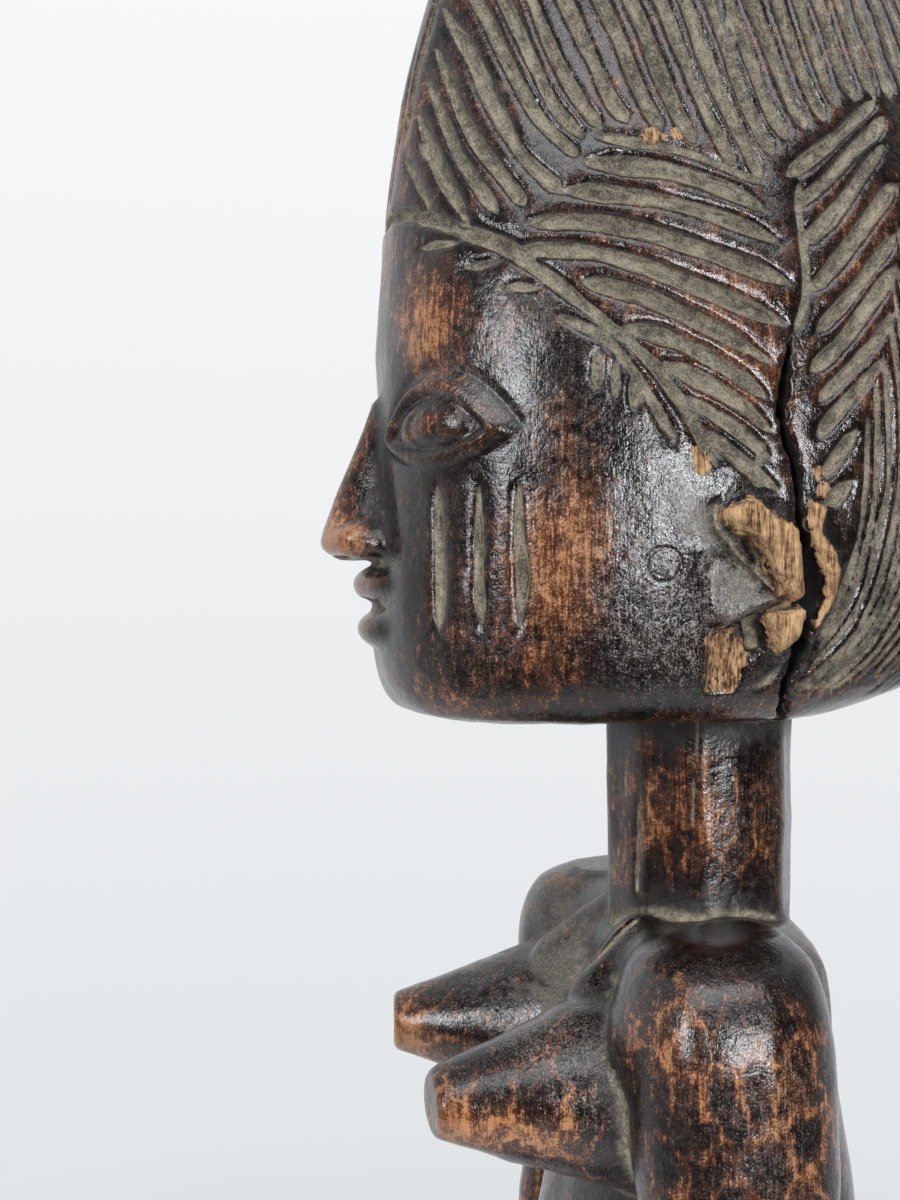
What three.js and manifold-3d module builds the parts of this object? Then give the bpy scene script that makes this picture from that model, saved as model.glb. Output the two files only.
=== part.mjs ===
// A standing female twin figure (ere ibeji), carved from one block of dark hardwood, base included.
// A large head with a tall ridged coiffure sits on a straight neck. The shoulders are square, the breasts are
// long cones, the arms hang free of the waist with the hands on the thighs, and short bent legs stand on a
// round base. An age crack runs down behind the left ear, whose rim is broken.
// Millimetres, +Z up. The figure faces -Y and its left side is +X. The origin is the centre of the underside.
import * as THREE from "three";
import { mergeVertices } from "three/addons/utils/BufferGeometryUtils.js";
import Module from "manifold-3d";

// Driving dimensions
const FIGURE_HEIGHT = 270; // from the soles to the top of the crest
const BASE_THICKNESS = 18;
const BASE_MARGIN = 5.5; // from the feet to the edge of the base
const BASE_CHAMFER = 1.5;
const HAIR_PITCH = 4.6; // from one hair groove to the next
const HAIR_GROOVE_WIDTH = 2.1;
const HAIR_GROOVE_DEPTH = 1.0;
const CHEEK_MARK_WIDTH = 1.5;
const CHEEK_MARK_DEPTH = 0.8;
const CRACK_WIDTH = 2.6;
const CRACK_DEPTH = 6;
const FINGER_GROOVE_WIDTH = 1.2;
const FINGER_GROOVE_DEPTH = 0.9;
const EAR_RELIEF = 2.6; // how far the ears stand proud of the head
const CUT_LIFT = 0.8; // how far a cutter reaches out of the surface that it cuts
const CUT_END = 0.45; // the share of its width and depth that a cut has left at its ends

// The free forms are drawn on a canon of 270 units from the soles to the crest.
const CANON = 270;
const UNIT = FIGURE_HEIGHT / CANON;

// How finely each form is faceted: sides round it, and levels up it where it is drawn from sections.
const FACETS = {
  head: [20, 14],
  neck: [12, 1],
  torso: [18, 10],
  arm: [10, 11],
  leg: [10, 7],
  foot: [12, 3],
  nose: [10, 5],
  ball: [10, 6],
  breast: 14,
  base: 32,
  earCurve: 7,
};

// The longest straight stretch of a cut, in canon units.
const HAIR_CUT_STEP = 16;
const CHEEK_CUT_STEP = 9;
const CRACK_STEP = 7;

// Each row is one horizontal section: height, centre x, front y, back y, half width, squareness.
// Squareness 2 is an ellipse, and more is boxier.
const HEAD = [
  [163, 0, -33, 11, 17.4, 2.6],
  [164, 0, -36.6, 16, 20.6, 2.6],
  [167.5, 0, -38.8, 24, 23, 2.6],
  [174, 0, -39.6, 31.5, 24.4, 2.6],
  [184, 0, -39.3, 35.8, 25.4, 2.6],
  [196, 0, -39, 37.4, 25.4, 2.6],
  [208, 0, -39.2, 37.4, 24.4, 2.5],
  [217, 0, -38.6, 36.6, 23, 2.4],
  [226, 0, -37.8, 34.8, 20.8, 2.3],
  [236, 0, -36.2, 31.8, 17.8, 2.2],
  [246, 0, -33.4, 27.6, 14.2, 2.1],
  [256, 0, -28.6, 21.6, 9.8, 2],
  [263, 0, -22.6, 15.4, 6.4, 2],
  [268, 0, -14.5, 8.6, 3.2, 2],
  [270, 0, -6, 1.5, 0.9, 2],
];
const TORSO = [
  [53, 0, -9, 13, 15, 2.4],
  [58, 0, -13.8, 18.6, 21.6, 2.4],
  [66, 0, -16, 21, 23.4, 2.4],
  [76, 0, -18.2, 19.8, 21.4, 2.4],
  [88, 0, -20, 18.2, 17.6, 2.4],
  [100, 0, -20, 17.6, 16.8, 2.5],
  [112, 0, -17.2, 16.2, 18.4, 2.5],
  [124, 0, -14.4, 13.1, 20.5, 2.6],
  [134, 0, -13.8, 11.4, 21.5, 2.8],
  [139.5, 0, -12.4, 10.2, 20, 2.8],
  [142.4, 0, -9, 8.4, 15, 2.6],
];
const NECK = [
  [138, 0, -11.3, 10.8, 11.1, 2.2],
  [153, 0, -11.3, 10.8, 11.1, 2.2],
  [168, 0, -11.3, 10.8, 11.1, 2.2],
];
const ARM = [
  [51, 22, -15.5, -9, 2.2, 2.4],
  [56, 22.4, -19.5, -5, 3.4, 2.8],
  [66, 23.4, -20, -5.5, 3.8, 2.6],
  [73, 24.8, -18.6, -7.2, 4.4, 2.3],
  [82, 26.8, -17.4, -4, 5, 2.2],
  [92, 28, -16.4, -0.2, 5.6, 2.2],
  [101, 27.8, -15.6, 2.8, 6, 2.2],
  [112, 26, -15.8, 4.6, 7, 2.2],
  [124, 23.6, -16.6, 5.6, 9, 2.3],
  [133, 21.8, -17, 5.4, 10.2, 2.4],
  [139, 20.6, -15, 4, 8.6, 2.4],
  [141.8, 19.6, -10.5, 1.4, 4.4, 2.4],
];
const LEG = [
  [3, 13.4, -4.5, 10.5, 7.2, 2.4],
  [8, 13.2, -3.5, 9.5, 6.6, 2.3],
  [14, 13.2, -3.5, 10, 7, 2.2],
  [24, 13.2, -7.6, 10, 8.6, 2.2],
  [33, 13, -13.4, 5.6, 8.8, 2.2],
  [42, 12.6, -14.6, 7.6, 9.8, 2.2],
  [54, 12, -14.6, 12, 10.8, 2.3],
  [64, 11.5, -13, 14, 10.5, 2.3],
];
const FOOT = [
  [-1, 14, -20.5, 11, 7.4, 2.8],
  [3.6, 14, -20.8, 11, 7.4, 2.8],
  [6.6, 13.8, -18.4, 10.4, 6.8, 2.6],
  [9.6, 13.6, -10, 8.6, 5.4, 2.4],
];
const NOSE = [
  [181.2, 0, -44.4, -30, 6.2, 2.4],
  [182.8, 0, -45.8, -30, 6.8, 2.2],
  [187, 0, -44.6, -30, 4.6, 2],
  [193, 0, -42.2, -30, 3.2, 2],
  [199.5, 0, -39.8, -30, 2.8, 2],
];

// Each ball is centre x, y, z and its three radii.
const UPPER_LIP = [0, -37, 178.2, 9, 4.9, 2.9];
const LOWER_LIP = [0, -36.6, 173.1, 8, 4.9, 3];
const BUTTOCK = [10, 10.8, 66, 12.2, 12.2, 13.5];
const NAVEL = [0, -20, 95, 2.6, 2.4, 2.6];
// The eye is so many degrees round from the middle of the face.
const EYE = { turn: 23, z: 194.6, sunk: 1.4, lids: [8, 2.7, 4.4], ball: [5.4, 3.2, 2.9] };

const BREAST = { root: [11.6, -10, 123.4], tip: [14.6, -35.6, 123.6], rootRadius: 12.8, tipRadius: 3.7 };

// Carved lines. A zone fills the space between its anchor lines with lines one pitch apart.
// A spot on the side of the head is [y, z]. A spot round it is [degrees round from the face, z].
const CREST_LINES = [
  [[-36.6, 224], [-34, 219.8], [-31.5, 217]],
  [[-34.8, 237], [-32, 226], [-28.2, 216.6]],
  [[-32.2, 246], [-28.5, 231], [-22.8, 219]],
  [[-27.2, 256.5], [-19.5, 238], [-8.5, 226]],
  [[-8, 267.5], [-1.5, 243], [4, 222.5]],
  [[8.4, 265.5], [12, 244], [14, 232]],
  [[22, 253], [24.8, 240], [26, 230]],
];
const TEMPLE_LINES = [
  [[-19.5, 224.5], [-8, 223.8], [0.2, 219]],
  [[-25.5, 215.6], [-12, 215.6], [0.6, 208.5]],
  [[-19.5, 206.8], [-9.5, 204], [0.4, 197.5]],
  [[-9.8, 194], [-5, 192.3], [-0.8, 188.6]],
];
const CHEVRON_LINES = [
  [[3, 221], [8, 225.8], [13.4, 230.2]],
  [[3.4, 205], [8.5, 210.3], [14.2, 216]],
  [[3.4, 194.5], [6.5, 198], [9.8, 202]],
  [[4.5, 186.5], [6, 188.5], [7.6, 190.8]],
];
const NAPE_PITCH = 11; // degrees round the head from one line to the next
const NAPE_LINES = [
  [[110, 201], [113, 186], [120, 172]],
  [[128, 219], [132, 194], [138, 171]],
  [[176, 248], [176, 206], [176, 171]],
];
const HAIRLINE = [[-37.4, 218.6], [-30, 215.4], [-22.7, 209.9], [-15.3, 202.4], [-9.5, 193], [-5.4, 187.6]];
const CRACK = [[1.6, 204], [0.4, 197], [0.9, 189.5], [2.3, 182], [2.4, 174], [1, 167], [0, 163.6]];
const CHEEK_MARKS = [-35, -31.2, -27.4].map((y) => [[y, 188.4], [y, 181], [y, 173]]);
const EAR = {
  y: -3.9,
  z: 178.8,
  halfWidth: 5.4,
  halfHeight: 8.4,
  rim: 2.7,
  mouth: 40,
  sunk: 5,
  flap: [[-5.4, 2.6], [-5.4, -4.6], [3.4, -2.5]],
};
const FINGER_LINES = [-16.4, -12.6, -8.9].map((y) => [[y, 64.5], [y, 58.5], [y + 0.6, 52.5]]);
const FINGER_ROUNDING = 0.95; // the share of the hand's depth within which its side is cut
const TOES = {
  x: [9.4, 12, 14.6, 17.2],
  path: [[-21, 4], [-17.5, 5.2], [-14, 6.4]],
  upward: [0, 0.35, 0.94],
};

const wasm = await Module();
wasm.setup();

function catmullRom(a, b, c, d, t) {
  return b + 0.5 * t * (c - a + t * (2 * a - 5 * b + 4 * c - d + t * (3 * (b - c) + d - a)));
}

// The row at share t of the way through a table, on a smooth curve through its rows.
function along(rows, t) {
  const at = t * (rows.length - 1);
  const i = Math.min(Math.floor(at), rows.length - 2);
  const row = (k) => rows[Math.min(Math.max(k, 0), rows.length - 1)];
  return rows[i].map((_, c) => catmullRom(row(i - 1)[c], row(i)[c], row(i + 1)[c], row(i + 2)[c], at - i));
}

// The share of the way through a table at which its first column reaches z.
function shareAt(rows, z) {
  let low = 0;
  let high = 1;
  for (let i = 0; i < 30; i++) {
    const middle = (low + high) / 2;
    if (along(rows, middle)[0] < z) low = middle;
    else high = middle;
  }
  return low;
}

// The point of a section that is turn radians round from the face, in canon units.
function onSection([z, x, front, back, half, square], turn) {
  const side = Math.abs(Math.sin(turn)) / half;
  const fore = Math.abs(Math.cos(turn)) / ((back - front) / 2);
  const reach = (side ** square + fore ** square) ** (-1 / square);
  return new THREE.Vector3(x + reach * Math.sin(turn), (front + back) / 2 - reach * Math.cos(turn), z);
}

// From canon units, above the soles, to the part's frame.
function place(point) {
  return point.multiplyScalar(UNIT).setZ(point.z + BASE_THICKNESS);
}

// A closed skin over a table of sections.
function loft(rows, [around, levels]) {
  const skin = new THREE.CylinderGeometry(1, 1, 1, around, levels);
  const vertex = skin.attributes.position;
  for (let i = 0; i < vertex.count; i++) {
    const section = along(rows, vertex.getY(i) + 0.5);
    const centre = new THREE.Vector3(section[1], (section[2] + section[3]) / 2, section[0]);
    const onRim = Math.hypot(vertex.getX(i), vertex.getZ(i)) > 0.5;
    const point = onRim ? onSection(section, Math.atan2(vertex.getX(i), vertex.getZ(i))) : centre;
    vertex.setXYZ(i, ...place(point));
  }
  return skin;
}

function ball([x, y, z, rx, ry, rz], turn = 0) {
  const skin = new THREE.SphereGeometry(UNIT, ...FACETS.ball);
  skin.scale(rx, ry, rz).rotateZ(turn);
  return skin.translate(...place(new THREE.Vector3(x, y, z)));
}

function mirrored(geometry) {
  const copy = mergeVertices(geometry).scale(-1, 1, 1);
  const index = copy.index.array;
  for (let i = 0; i < index.length; i += 3) [index[i + 1], index[i + 2]] = [index[i + 2], index[i + 1]];
  return copy;
}

function solid(geometry) {
  const bare = geometry.clone();
  bare.deleteAttribute("normal");
  bare.deleteAttribute("uv");
  const merged = mergeVertices(bare, 1e-4);
  const vertProperties = merged.attributes.position.array;
  const triVerts = new Uint32Array(merged.index.array);
  return new wasm.Manifold(new wasm.Mesh({ numProp: 3, vertProperties, triVerts }));
}

const bothSides = (geometry) => [geometry, mirrored(geometry)];

// Spots on the head, in canon units.
function onHeadSide([y, z]) {
  const [, , front, back, half, square] = along(HEAD, shareAt(HEAD, z));
  const fore = Math.min(Math.abs(y - (front + back) / 2) / ((back - front) / 2), 1);
  return new THREE.Vector3(half * (1 - fore ** square) ** (1 / square), y, z);
}

function onHeadRound([degrees, z]) {
  return onSection(along(HEAD, shareAt(HEAD, z)), THREE.MathUtils.degToRad(degrees));
}

function headNormal(spot) {
  const depth = (x, y, z) => {
    const [, , front, back, half, square] = along(HEAD, shareAt(HEAD, z));
    const fore = Math.abs(y - (front + back) / 2) / ((back - front) / 2);
    return (Math.abs(x) / half) ** square + fore ** square;
  };
  const step = 0.2;
  const { x, y, z } = spot;
  return new THREE.Vector3(
    depth(x + step, y, z) - depth(x - step, y, z),
    depth(x, y + step, z) - depth(x, y - step, z),
    depth(x, y, z + step) - depth(x, y, z - step),
  ).normalize();
}

// The bar that a V gouge sweeps out. Its spots are in canon units, its width and depth in millimetres.
function gouge(spots, normals, width, depth) {
  const points = spots.map((spot) => place(spot.clone()));
  const rings = points.flatMap((point, i) => {
    const ahead = points[Math.min(i + 1, points.length - 1)].clone().sub(points[Math.max(i - 1, 0)]);
    const across = ahead.cross(normals[i]).normalize();
    const fullness = i === 0 || i === points.length - 1 ? CUT_END : 1;
    const half = (fullness * width * (depth + CUT_LIFT)) / depth / 2;
    const rim = point.clone().addScaledVector(normals[i], CUT_LIFT);
    return [
      rim.clone().addScaledVector(across, half),
      point.clone().addScaledVector(normals[i], -fullness * depth),
      rim.clone().addScaledVector(across, -half),
    ];
  });
  const index = [0, 2, 1];
  for (let i = 0; i < points.length - 1; i++) {
    for (let side = 0; side < 3; side++) {
      const a = 3 * i + side;
      const b = 3 * i + ((side + 1) % 3);
      index.push(a, b, b + 3, a, b + 3, a + 3);
    }
  }
  const last = 3 * (points.length - 1);
  index.push(last, last + 1, last + 2);
  return new THREE.BufferGeometry().setFromPoints(rings).setIndex(index);
}

// Lines one pitch apart between anchor lines, spaced by the distance between their middles.
function fill(anchors, pitch) {
  const middles = new THREE.CurvePath();
  anchors.slice(1).forEach((line, i) => {
    const [a, b] = [anchors[i], line].map((l) => new THREE.Vector3(...l[1], 0));
    middles.add(new THREE.LineCurve3(a, b));
  });
  const lengths = middles.getCurveLengths();
  const total = lengths[lengths.length - 1];
  const gaps = Math.round(total / pitch);
  return Array.from({ length: gaps + 1 }, (_, k) => {
    const reached = (k / gaps) * total;
    const i = Math.min(lengths.findIndex((l) => reached <= l + 1e-9), anchors.length - 2);
    const share = (reached - (i ? lengths[i - 1] : 0)) / (lengths[i] - (i ? lengths[i - 1] : 0));
    const blend = (column, axis) => {
      const value = (n) => anchors[Math.min(Math.max(n, 0), anchors.length - 1)][column][axis];
      return catmullRom(value(i - 1), value(i), value(i + 1), value(i + 2), share);
    };
    return [0, 1, 2].map((column) => [blend(column, 0), blend(column, 1)]);
  });
}

// A smooth path through a line's spots, with one station about every reach units.
function smooth(line, reach) {
  const curve = new THREE.SplineCurve(line.map(([a, b]) => new THREE.Vector2(a, b)));
  const stations = Math.max(2, Math.ceil(curve.getLength() / reach));
  return curve.getSpacedPoints(stations).map((p) => [p.x, p.y]);
}

function headGouge(line, onHead, width, depth, reach) {
  const spots = smooth(line, reach).map(onHead);
  return gouge(spots, spots.map(headNormal), width, depth);
}

// Body

function breastSkin() {
  const root = new THREE.Vector3(...BREAST.root);
  const tip = new THREE.Vector3(...BREAST.tip);
  const { tipRadius, rootRadius } = BREAST;
  const cone = new THREE.CylinderGeometry(tipRadius, rootRadius, root.distanceTo(tip), FACETS.breast, 1);
  const turn = new THREE.Quaternion().setFromUnitVectors(
    new THREE.Vector3(0, 1, 0),
    tip.clone().sub(root).normalize(),
  );
  cone.applyQuaternion(turn).scale(UNIT, UNIT, UNIT);
  return cone.translate(...place(root.clone().add(tip).multiplyScalar(0.5)));
}

// The base follows the feet: it reaches one margin past the foot's farthest point.
const OUTLINE_SPOTS = 36;
const footOutline = FOOT.flatMap((row) =>
  Array.from({ length: OUTLINE_SPOTS }, (_, i) => onSection(row, (2 * Math.PI * i) / OUTLINE_SPOTS)),
);
const footReach = Math.max(...footOutline.map((p) => Math.hypot(p.x, p.y) * UNIT));
const baseRadius = footReach + BASE_MARGIN;

function baseSkin() {
  const outline = [
    [0, 0],
    [baseRadius - BASE_CHAMFER, 0],
    [baseRadius, BASE_CHAMFER],
    [baseRadius, BASE_THICKNESS - BASE_CHAMFER],
    [baseRadius - BASE_CHAMFER, BASE_THICKNESS],
    [0, BASE_THICKNESS],
  ].map(([r, z]) => new THREE.Vector2(r, z));
  return new THREE.LatheGeometry(outline, FACETS.base).rotateX(Math.PI / 2);
}

// Face

// The lids are a low almond mound, and the eyeball swells out of it.
function eyeSkins() {
  const spot = onHeadRound([EYE.turn, EYE.z]);
  const normal = headNormal(spot);
  const centre = spot.clone().addScaledVector(normal, -EYE.sunk);
  const turn = Math.atan2(normal.x, -normal.y);
  return [EYE.lids, EYE.ball].map((radii) => ball([...centre, ...radii], turn));
}

// A flat outline, drawn as seen from the left, that stands proud of the head round the ear's centre.
function earRelief(outline, relief) {
  const skin = new THREE.ExtrudeGeometry(outline, {
    depth: EAR.sunk + relief / UNIT,
    bevelEnabled: false,
    curveSegments: FACETS.earCurve,
  });
  const axes = [new THREE.Vector3(0, 1, 0), new THREE.Vector3(0, 0, 1), new THREE.Vector3(1, 0, 0)];
  skin.applyMatrix4(new THREE.Matrix4().makeBasis(...axes)).scale(UNIT, UNIT, UNIT);
  const surface = onHeadSide([EAR.y, EAR.z]).x;
  return skin.translate(...place(new THREE.Vector3(surface - EAR.sunk, EAR.y, EAR.z)));
}

// The ear's rim is a C that opens towards the face.
function earRim() {
  const { halfWidth, halfHeight, rim } = EAR;
  const mouth = THREE.MathUtils.degToRad(EAR.mouth);
  const [start, end] = [Math.PI + mouth, Math.PI - mouth];
  const outline = new THREE.Shape();
  outline.absellipse(0, 0, halfWidth, halfHeight, start, end, false);
  outline.absellipse(0, 0, halfWidth - rim, halfHeight - rim, end, start, true);
  return earRelief(outline, EAR_RELIEF);
}

// The low flap in the mouth of the C.
function earFlap() {
  const corners = EAR.flap.map(([y, z]) => new THREE.Vector2(y, z));
  return earRelief(new THREE.Shape(corners), EAR_RELIEF / 2);
}

// Carving
function hairCuts() {
  const zones = [
    [CREST_LINES, HAIR_PITCH, onHeadSide],
    [TEMPLE_LINES, HAIR_PITCH, onHeadSide],
    [CHEVRON_LINES, HAIR_PITCH, onHeadSide],
    [NAPE_LINES, NAPE_PITCH, onHeadRound],
  ];
  const strokes = [[HAIRLINE, onHeadSide]];
  for (const [anchors, pitch, onHead] of zones) {
    strokes.push(...fill(anchors, pitch).map((line) => [line, onHead]));
  }
  return strokes.flatMap(([line, onHead]) =>
    bothSides(headGouge(line, onHead, HAIR_GROOVE_WIDTH, HAIR_GROOVE_DEPTH, HAIR_CUT_STEP)),
  );
}

function cheekCuts() {
  return CHEEK_MARKS.flatMap((line) =>
    bothSides(headGouge(line, onHeadSide, CHEEK_MARK_WIDTH, CHEEK_MARK_DEPTH, CHEEK_CUT_STEP)),
  );
}

function fingerCuts() {
  const outward = new THREE.Vector3(1, 0, 0);
  return FINGER_LINES.flatMap((line) => {
    const spots = line.map(([y, z]) => {
      const [, x, front, back, half, square] = along(ARM, shareAt(ARM, z));
      const fore = Math.min(Math.abs(y - (front + back) / 2) / ((back - front) / 2), FINGER_ROUNDING);
      return new THREE.Vector3(x + half * (1 - fore ** square) ** (1 / square), y, z);
    });
    return bothSides(gouge(spots, spots.map(() => outward), FINGER_GROOVE_WIDTH, FINGER_GROOVE_DEPTH));
  });
}

function toeCuts() {
  const upward = new THREE.Vector3(...TOES.upward);
  return TOES.x.flatMap((x) => {
    const spots = TOES.path.map(([y, z]) => new THREE.Vector3(x, y, z));
    return bothSides(gouge(spots, spots.map(() => upward), FINGER_GROOVE_WIDTH, FINGER_GROOVE_DEPTH));
  });
}

const added = [
  loft(HEAD, FACETS.head),
  loft(NECK, FACETS.neck),
  loft(TORSO, FACETS.torso),
  ...bothSides(loft(ARM, FACETS.arm)),
  ...bothSides(loft(LEG, FACETS.leg)),
  ...bothSides(loft(FOOT, FACETS.foot)),
  ...bothSides(ball(BUTTOCK)),
  ...bothSides(breastSkin()),
  ...bothSides(earRim()),
  ...bothSides(earFlap()),
  ...eyeSkins().flatMap(bothSides),
  loft(NOSE, FACETS.nose),
  ball(UPPER_LIP),
  ball(LOWER_LIP),
  ball(NAVEL),
  baseSkin(),
];
const cuts = [
  ...hairCuts(),
  ...cheekCuts(),
  ...fingerCuts(),
  ...toeCuts(),
  headGouge(CRACK, onHeadSide, CRACK_WIDTH, CRACK_DEPTH, CRACK_STEP),
];
const uncut = added.map(solid).reduce((whole, piece) => whole.add(piece));
const carved = cuts.map(solid).reduce((whole, cut) => whole.subtract(cut), uncut);

function figureGeometry(made) {
  const { vertProperties, triVerts } = made.getMesh();
  return new THREE.BufferGeometry()
    .setAttribute("position", new THREE.BufferAttribute(vertProperties, 3))
    .setIndex(new THREE.BufferAttribute(triVerts, 1));
}

const patinatedWood = new THREE.MeshStandardMaterial({ color: 0x3a2014, roughness: 0.38, metalness: 0 });
const figure = new THREE.Mesh(figureGeometry(carved), patinatedWood);
figure.name = "figure";
figure.geometry.computeVertexNormals();

const group = new THREE.Group();
group.add(figure);
export default group;
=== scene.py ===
# A standing female twin figure (ere ibeji) of dark patinated wood, seen close up from its left side.
# The whole figure is one carved piece. It is worked out as a field of signed distances on a fine grid,
# cut line by line as a carver's gouge would, and then turned into one mesh in place of the plain solid.
import math

import bpy
import numpy as np
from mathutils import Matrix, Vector


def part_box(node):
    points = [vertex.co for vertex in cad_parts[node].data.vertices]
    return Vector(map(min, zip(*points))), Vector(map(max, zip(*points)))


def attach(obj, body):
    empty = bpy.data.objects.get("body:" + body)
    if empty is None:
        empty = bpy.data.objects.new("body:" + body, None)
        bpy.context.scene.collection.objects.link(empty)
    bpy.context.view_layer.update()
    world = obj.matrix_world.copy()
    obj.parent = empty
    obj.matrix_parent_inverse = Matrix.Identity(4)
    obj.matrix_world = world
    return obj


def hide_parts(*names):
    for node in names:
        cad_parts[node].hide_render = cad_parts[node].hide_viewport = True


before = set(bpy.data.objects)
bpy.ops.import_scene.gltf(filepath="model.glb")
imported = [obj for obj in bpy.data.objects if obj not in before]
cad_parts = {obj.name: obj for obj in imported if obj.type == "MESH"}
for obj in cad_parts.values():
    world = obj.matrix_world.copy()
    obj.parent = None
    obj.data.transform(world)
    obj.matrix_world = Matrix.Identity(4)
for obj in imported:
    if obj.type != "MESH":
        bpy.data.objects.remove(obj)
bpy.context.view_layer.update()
_, high_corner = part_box("figure")

# Sizes. Free forms are drawn on a canon of 270 units from the soles to the crest, as on the solid.
CANON = 270.0
BASE_THICKNESS = 0.018
UNIT = (high_corner.z - BASE_THICKNESS) / CANON
BASE_LEVEL = -BASE_THICKNESS / UNIT
BASE_RADIUS = high_corner.x / UNIT
BASE_EDGE = 1.6
MM = 1000
VOXEL = 0.36
FAR = 9.0
MOST_TRIANGLES = 190_000
CARVER_SEED = 21
SOFT_EDGE = 0.2

# Each row is one horizontal section: height, centre x, front y, back y, half width, squareness.
HEAD = [
    (163, 0, -33, 11, 17.4, 2.6), (164, 0, -36.6, 16, 20.6, 2.6), (167.5, 0, -38.8, 24, 23, 2.6),
    (174, 0, -39.6, 31.5, 24.4, 2.6), (184, 0, -39.3, 35.8, 25.4, 2.6), (196, 0, -39, 37.4, 25.4, 2.6),
    (208, 0, -39.2, 37.4, 24.4, 2.5), (217, 0, -38.6, 36.6, 23, 2.4), (226, 0, -37.8, 34.8, 20.8, 2.3),
    (236, 0, -36.2, 31.8, 17.8, 2.2), (246, 0, -33.4, 27.6, 14.2, 2.1), (256, 0, -28.6, 21.6, 9.8, 2),
    (263, 0, -22.6, 15.4, 6.4, 2), (268, 0, -14.5, 8.6, 3.2, 2), (270, 0, -6, 1.5, 0.9, 2),
]
TORSO = [
    (53, 0, -9, 13, 15, 2.4), (58, 0, -13.8, 18.6, 21.6, 2.4), (66, 0, -16, 21, 23.4, 2.4),
    (76, 0, -18.2, 19.8, 21.4, 2.4), (88, 0, -20, 18.2, 17.6, 2.4), (100, 0, -20, 17.6, 16.8, 2.5),
    (112, 0, -17.2, 16.2, 18.4, 2.5), (124, 0, -14.4, 13.1, 20.5, 2.6),
    (134, 0, -13.8, 11.4, 21.5, 2.8), (138, 0, -12.4, 10.2, 20, 2.8), (140.5, 0, -9, 8.4, 15, 2.6),
]
ARM = [
    (51, 22, -15.5, -9, 2.2, 2.4), (56, 22.4, -19.5, -5, 3.4, 2.8), (66, 23.4, -20, -5.5, 3.8, 2.6),
    (73, 24.8, -18.6, -7.2, 4.4, 2.3), (82, 26.8, -17.4, -4, 5, 2.2), (92, 28, -16.4, -0.2, 5.6, 2.2),
    (101, 27.8, -15.6, 2.8, 6, 2.2), (112, 26, -15.8, 4.6, 7, 2.2), (124, 23.6, -16.6, 5.6, 9, 2.3),
    (133, 21.8, -17, 5.4, 10.2, 2.4), (139, 20.6, -15, 4, 8.6, 2.4),
    (141.8, 19.6, -10.5, 1.4, 4.4, 2.4),
]
LEG = [
    (3, 13.4, -4.5, 10.5, 7.2, 2.4), (8, 13.2, -3.5, 9.5, 6.6, 2.3), (14, 13.2, -3.5, 10, 7, 2.2),
    (24, 13.2, -7.6, 10, 8.6, 2.2), (33, 13, -13.4, 5.6, 8.8, 2.2), (42, 12.6, -14.6, 7.6, 9.8, 2.2),
    (54, 12, -14.6, 12, 10.8, 2.3), (64, 11.5, -13, 14, 10.5, 2.3),
]
FOOT = [
    (-1, 14, -20.5, 11, 7.4, 2.8), (3.6, 14, -20.8, 11, 7.4, 2.8), (6.6, 13.8, -18.4, 10.4, 6.8, 2.6),
    (9.6, 13.6, -10, 8.6, 5.4, 2.4),
]
NOSE = [
    (181.2, 0, -44.4, -30, 6.2, 2.4), (182.8, 0, -45.8, -30, 6.8, 2.2), (187, 0, -44.6, -30, 4.6, 2),
    (193, 0, -42.2, -30, 3.2, 2), (199.5, 0, -39.8, -30, 2.8, 2),
]


# The grid of signed distances, in canon units. Negative is wood.
CORNERS = [(i, j, k) for i in (0, 1) for j in (0, 1) for k in (0, 1)]


def axis(low, high):
    steps = np.arange(math.floor(low / VOXEL), math.ceil(high / VOXEL) + 1, dtype=np.float32)
    return steps * np.float32(VOXEL)


class Field:
    """Values on the grid's points. A window is the part of the grid inside a box."""

    def __init__(self, axes, values=None, step=VOXEL):
        self.axes = axes
        self.step = step
        self.values = np.full([len(a) for a in axes], FAR, np.float32) if values is None else values

    def window(self, low, high):
        cut = []
        for a, l, h in zip(self.axes, low, high):
            first = max(0, int(math.floor((l - a[0]) / VOXEL)))
            last = min(len(a), int(math.ceil((h - a[0]) / VOXEL)) + 1)
            cut.append(slice(first, max(first, last)))
        x, y, z = (a[c] for a, c in zip(self.axes, cut))
        return tuple(cut), x[:, None, None], y[None, :, None], z[None, None, :]

    def join(self, shape, low, high, blend):
        cut, x, y, z = self.window(low, high)
        new = shape(x, y, z)
        self.values[cut] = smooth_min(self.values[cut], new, blend)

    def at(self, points):
        """Values between the grid's points, trilinear."""
        index = []
        share = []
        for k, a in enumerate(self.axes):
            t = np.clip((points[:, k] - a[0]) / self.step, 0, len(a) - 1.001)
            index.append(t.astype(np.int32))
            share.append((t - index[k]).astype(np.float32))
        (i, j, k), (u, v, w) = index, share
        total = 0
        for di, dj, dk in CORNERS:
            weight = (u if di else 1 - u) * (v if dj else 1 - v) * (w if dk else 1 - w)
            total = total + weight * self.values[i + di, j + dj, k + dk]
        return total

    def normals(self, points, reach=0.6):
        steps = np.eye(3, dtype=np.float32) * reach
        slope = np.stack([self.at(points + s) - self.at(points - s) for s in steps], axis=1)
        return slope / np.maximum(np.linalg.norm(slope, axis=1, keepdims=True), 1e-6)

    def settle(self, points):
        """The points moved onto the surface along its normals."""
        for _ in range(3):
            points = points - self.normals(points) * self.at(points)[:, None]
        return points


def smooth_min(a, b, blend):
    if blend <= 0:
        return np.minimum(a, b)
    h = np.maximum(blend - np.abs(a - b), 0) / blend
    return np.minimum(a, b) - h * h * (blend / 4)


def smooth_max(a, b, blend):
    return -smooth_min(-a, -b, blend)


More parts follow.
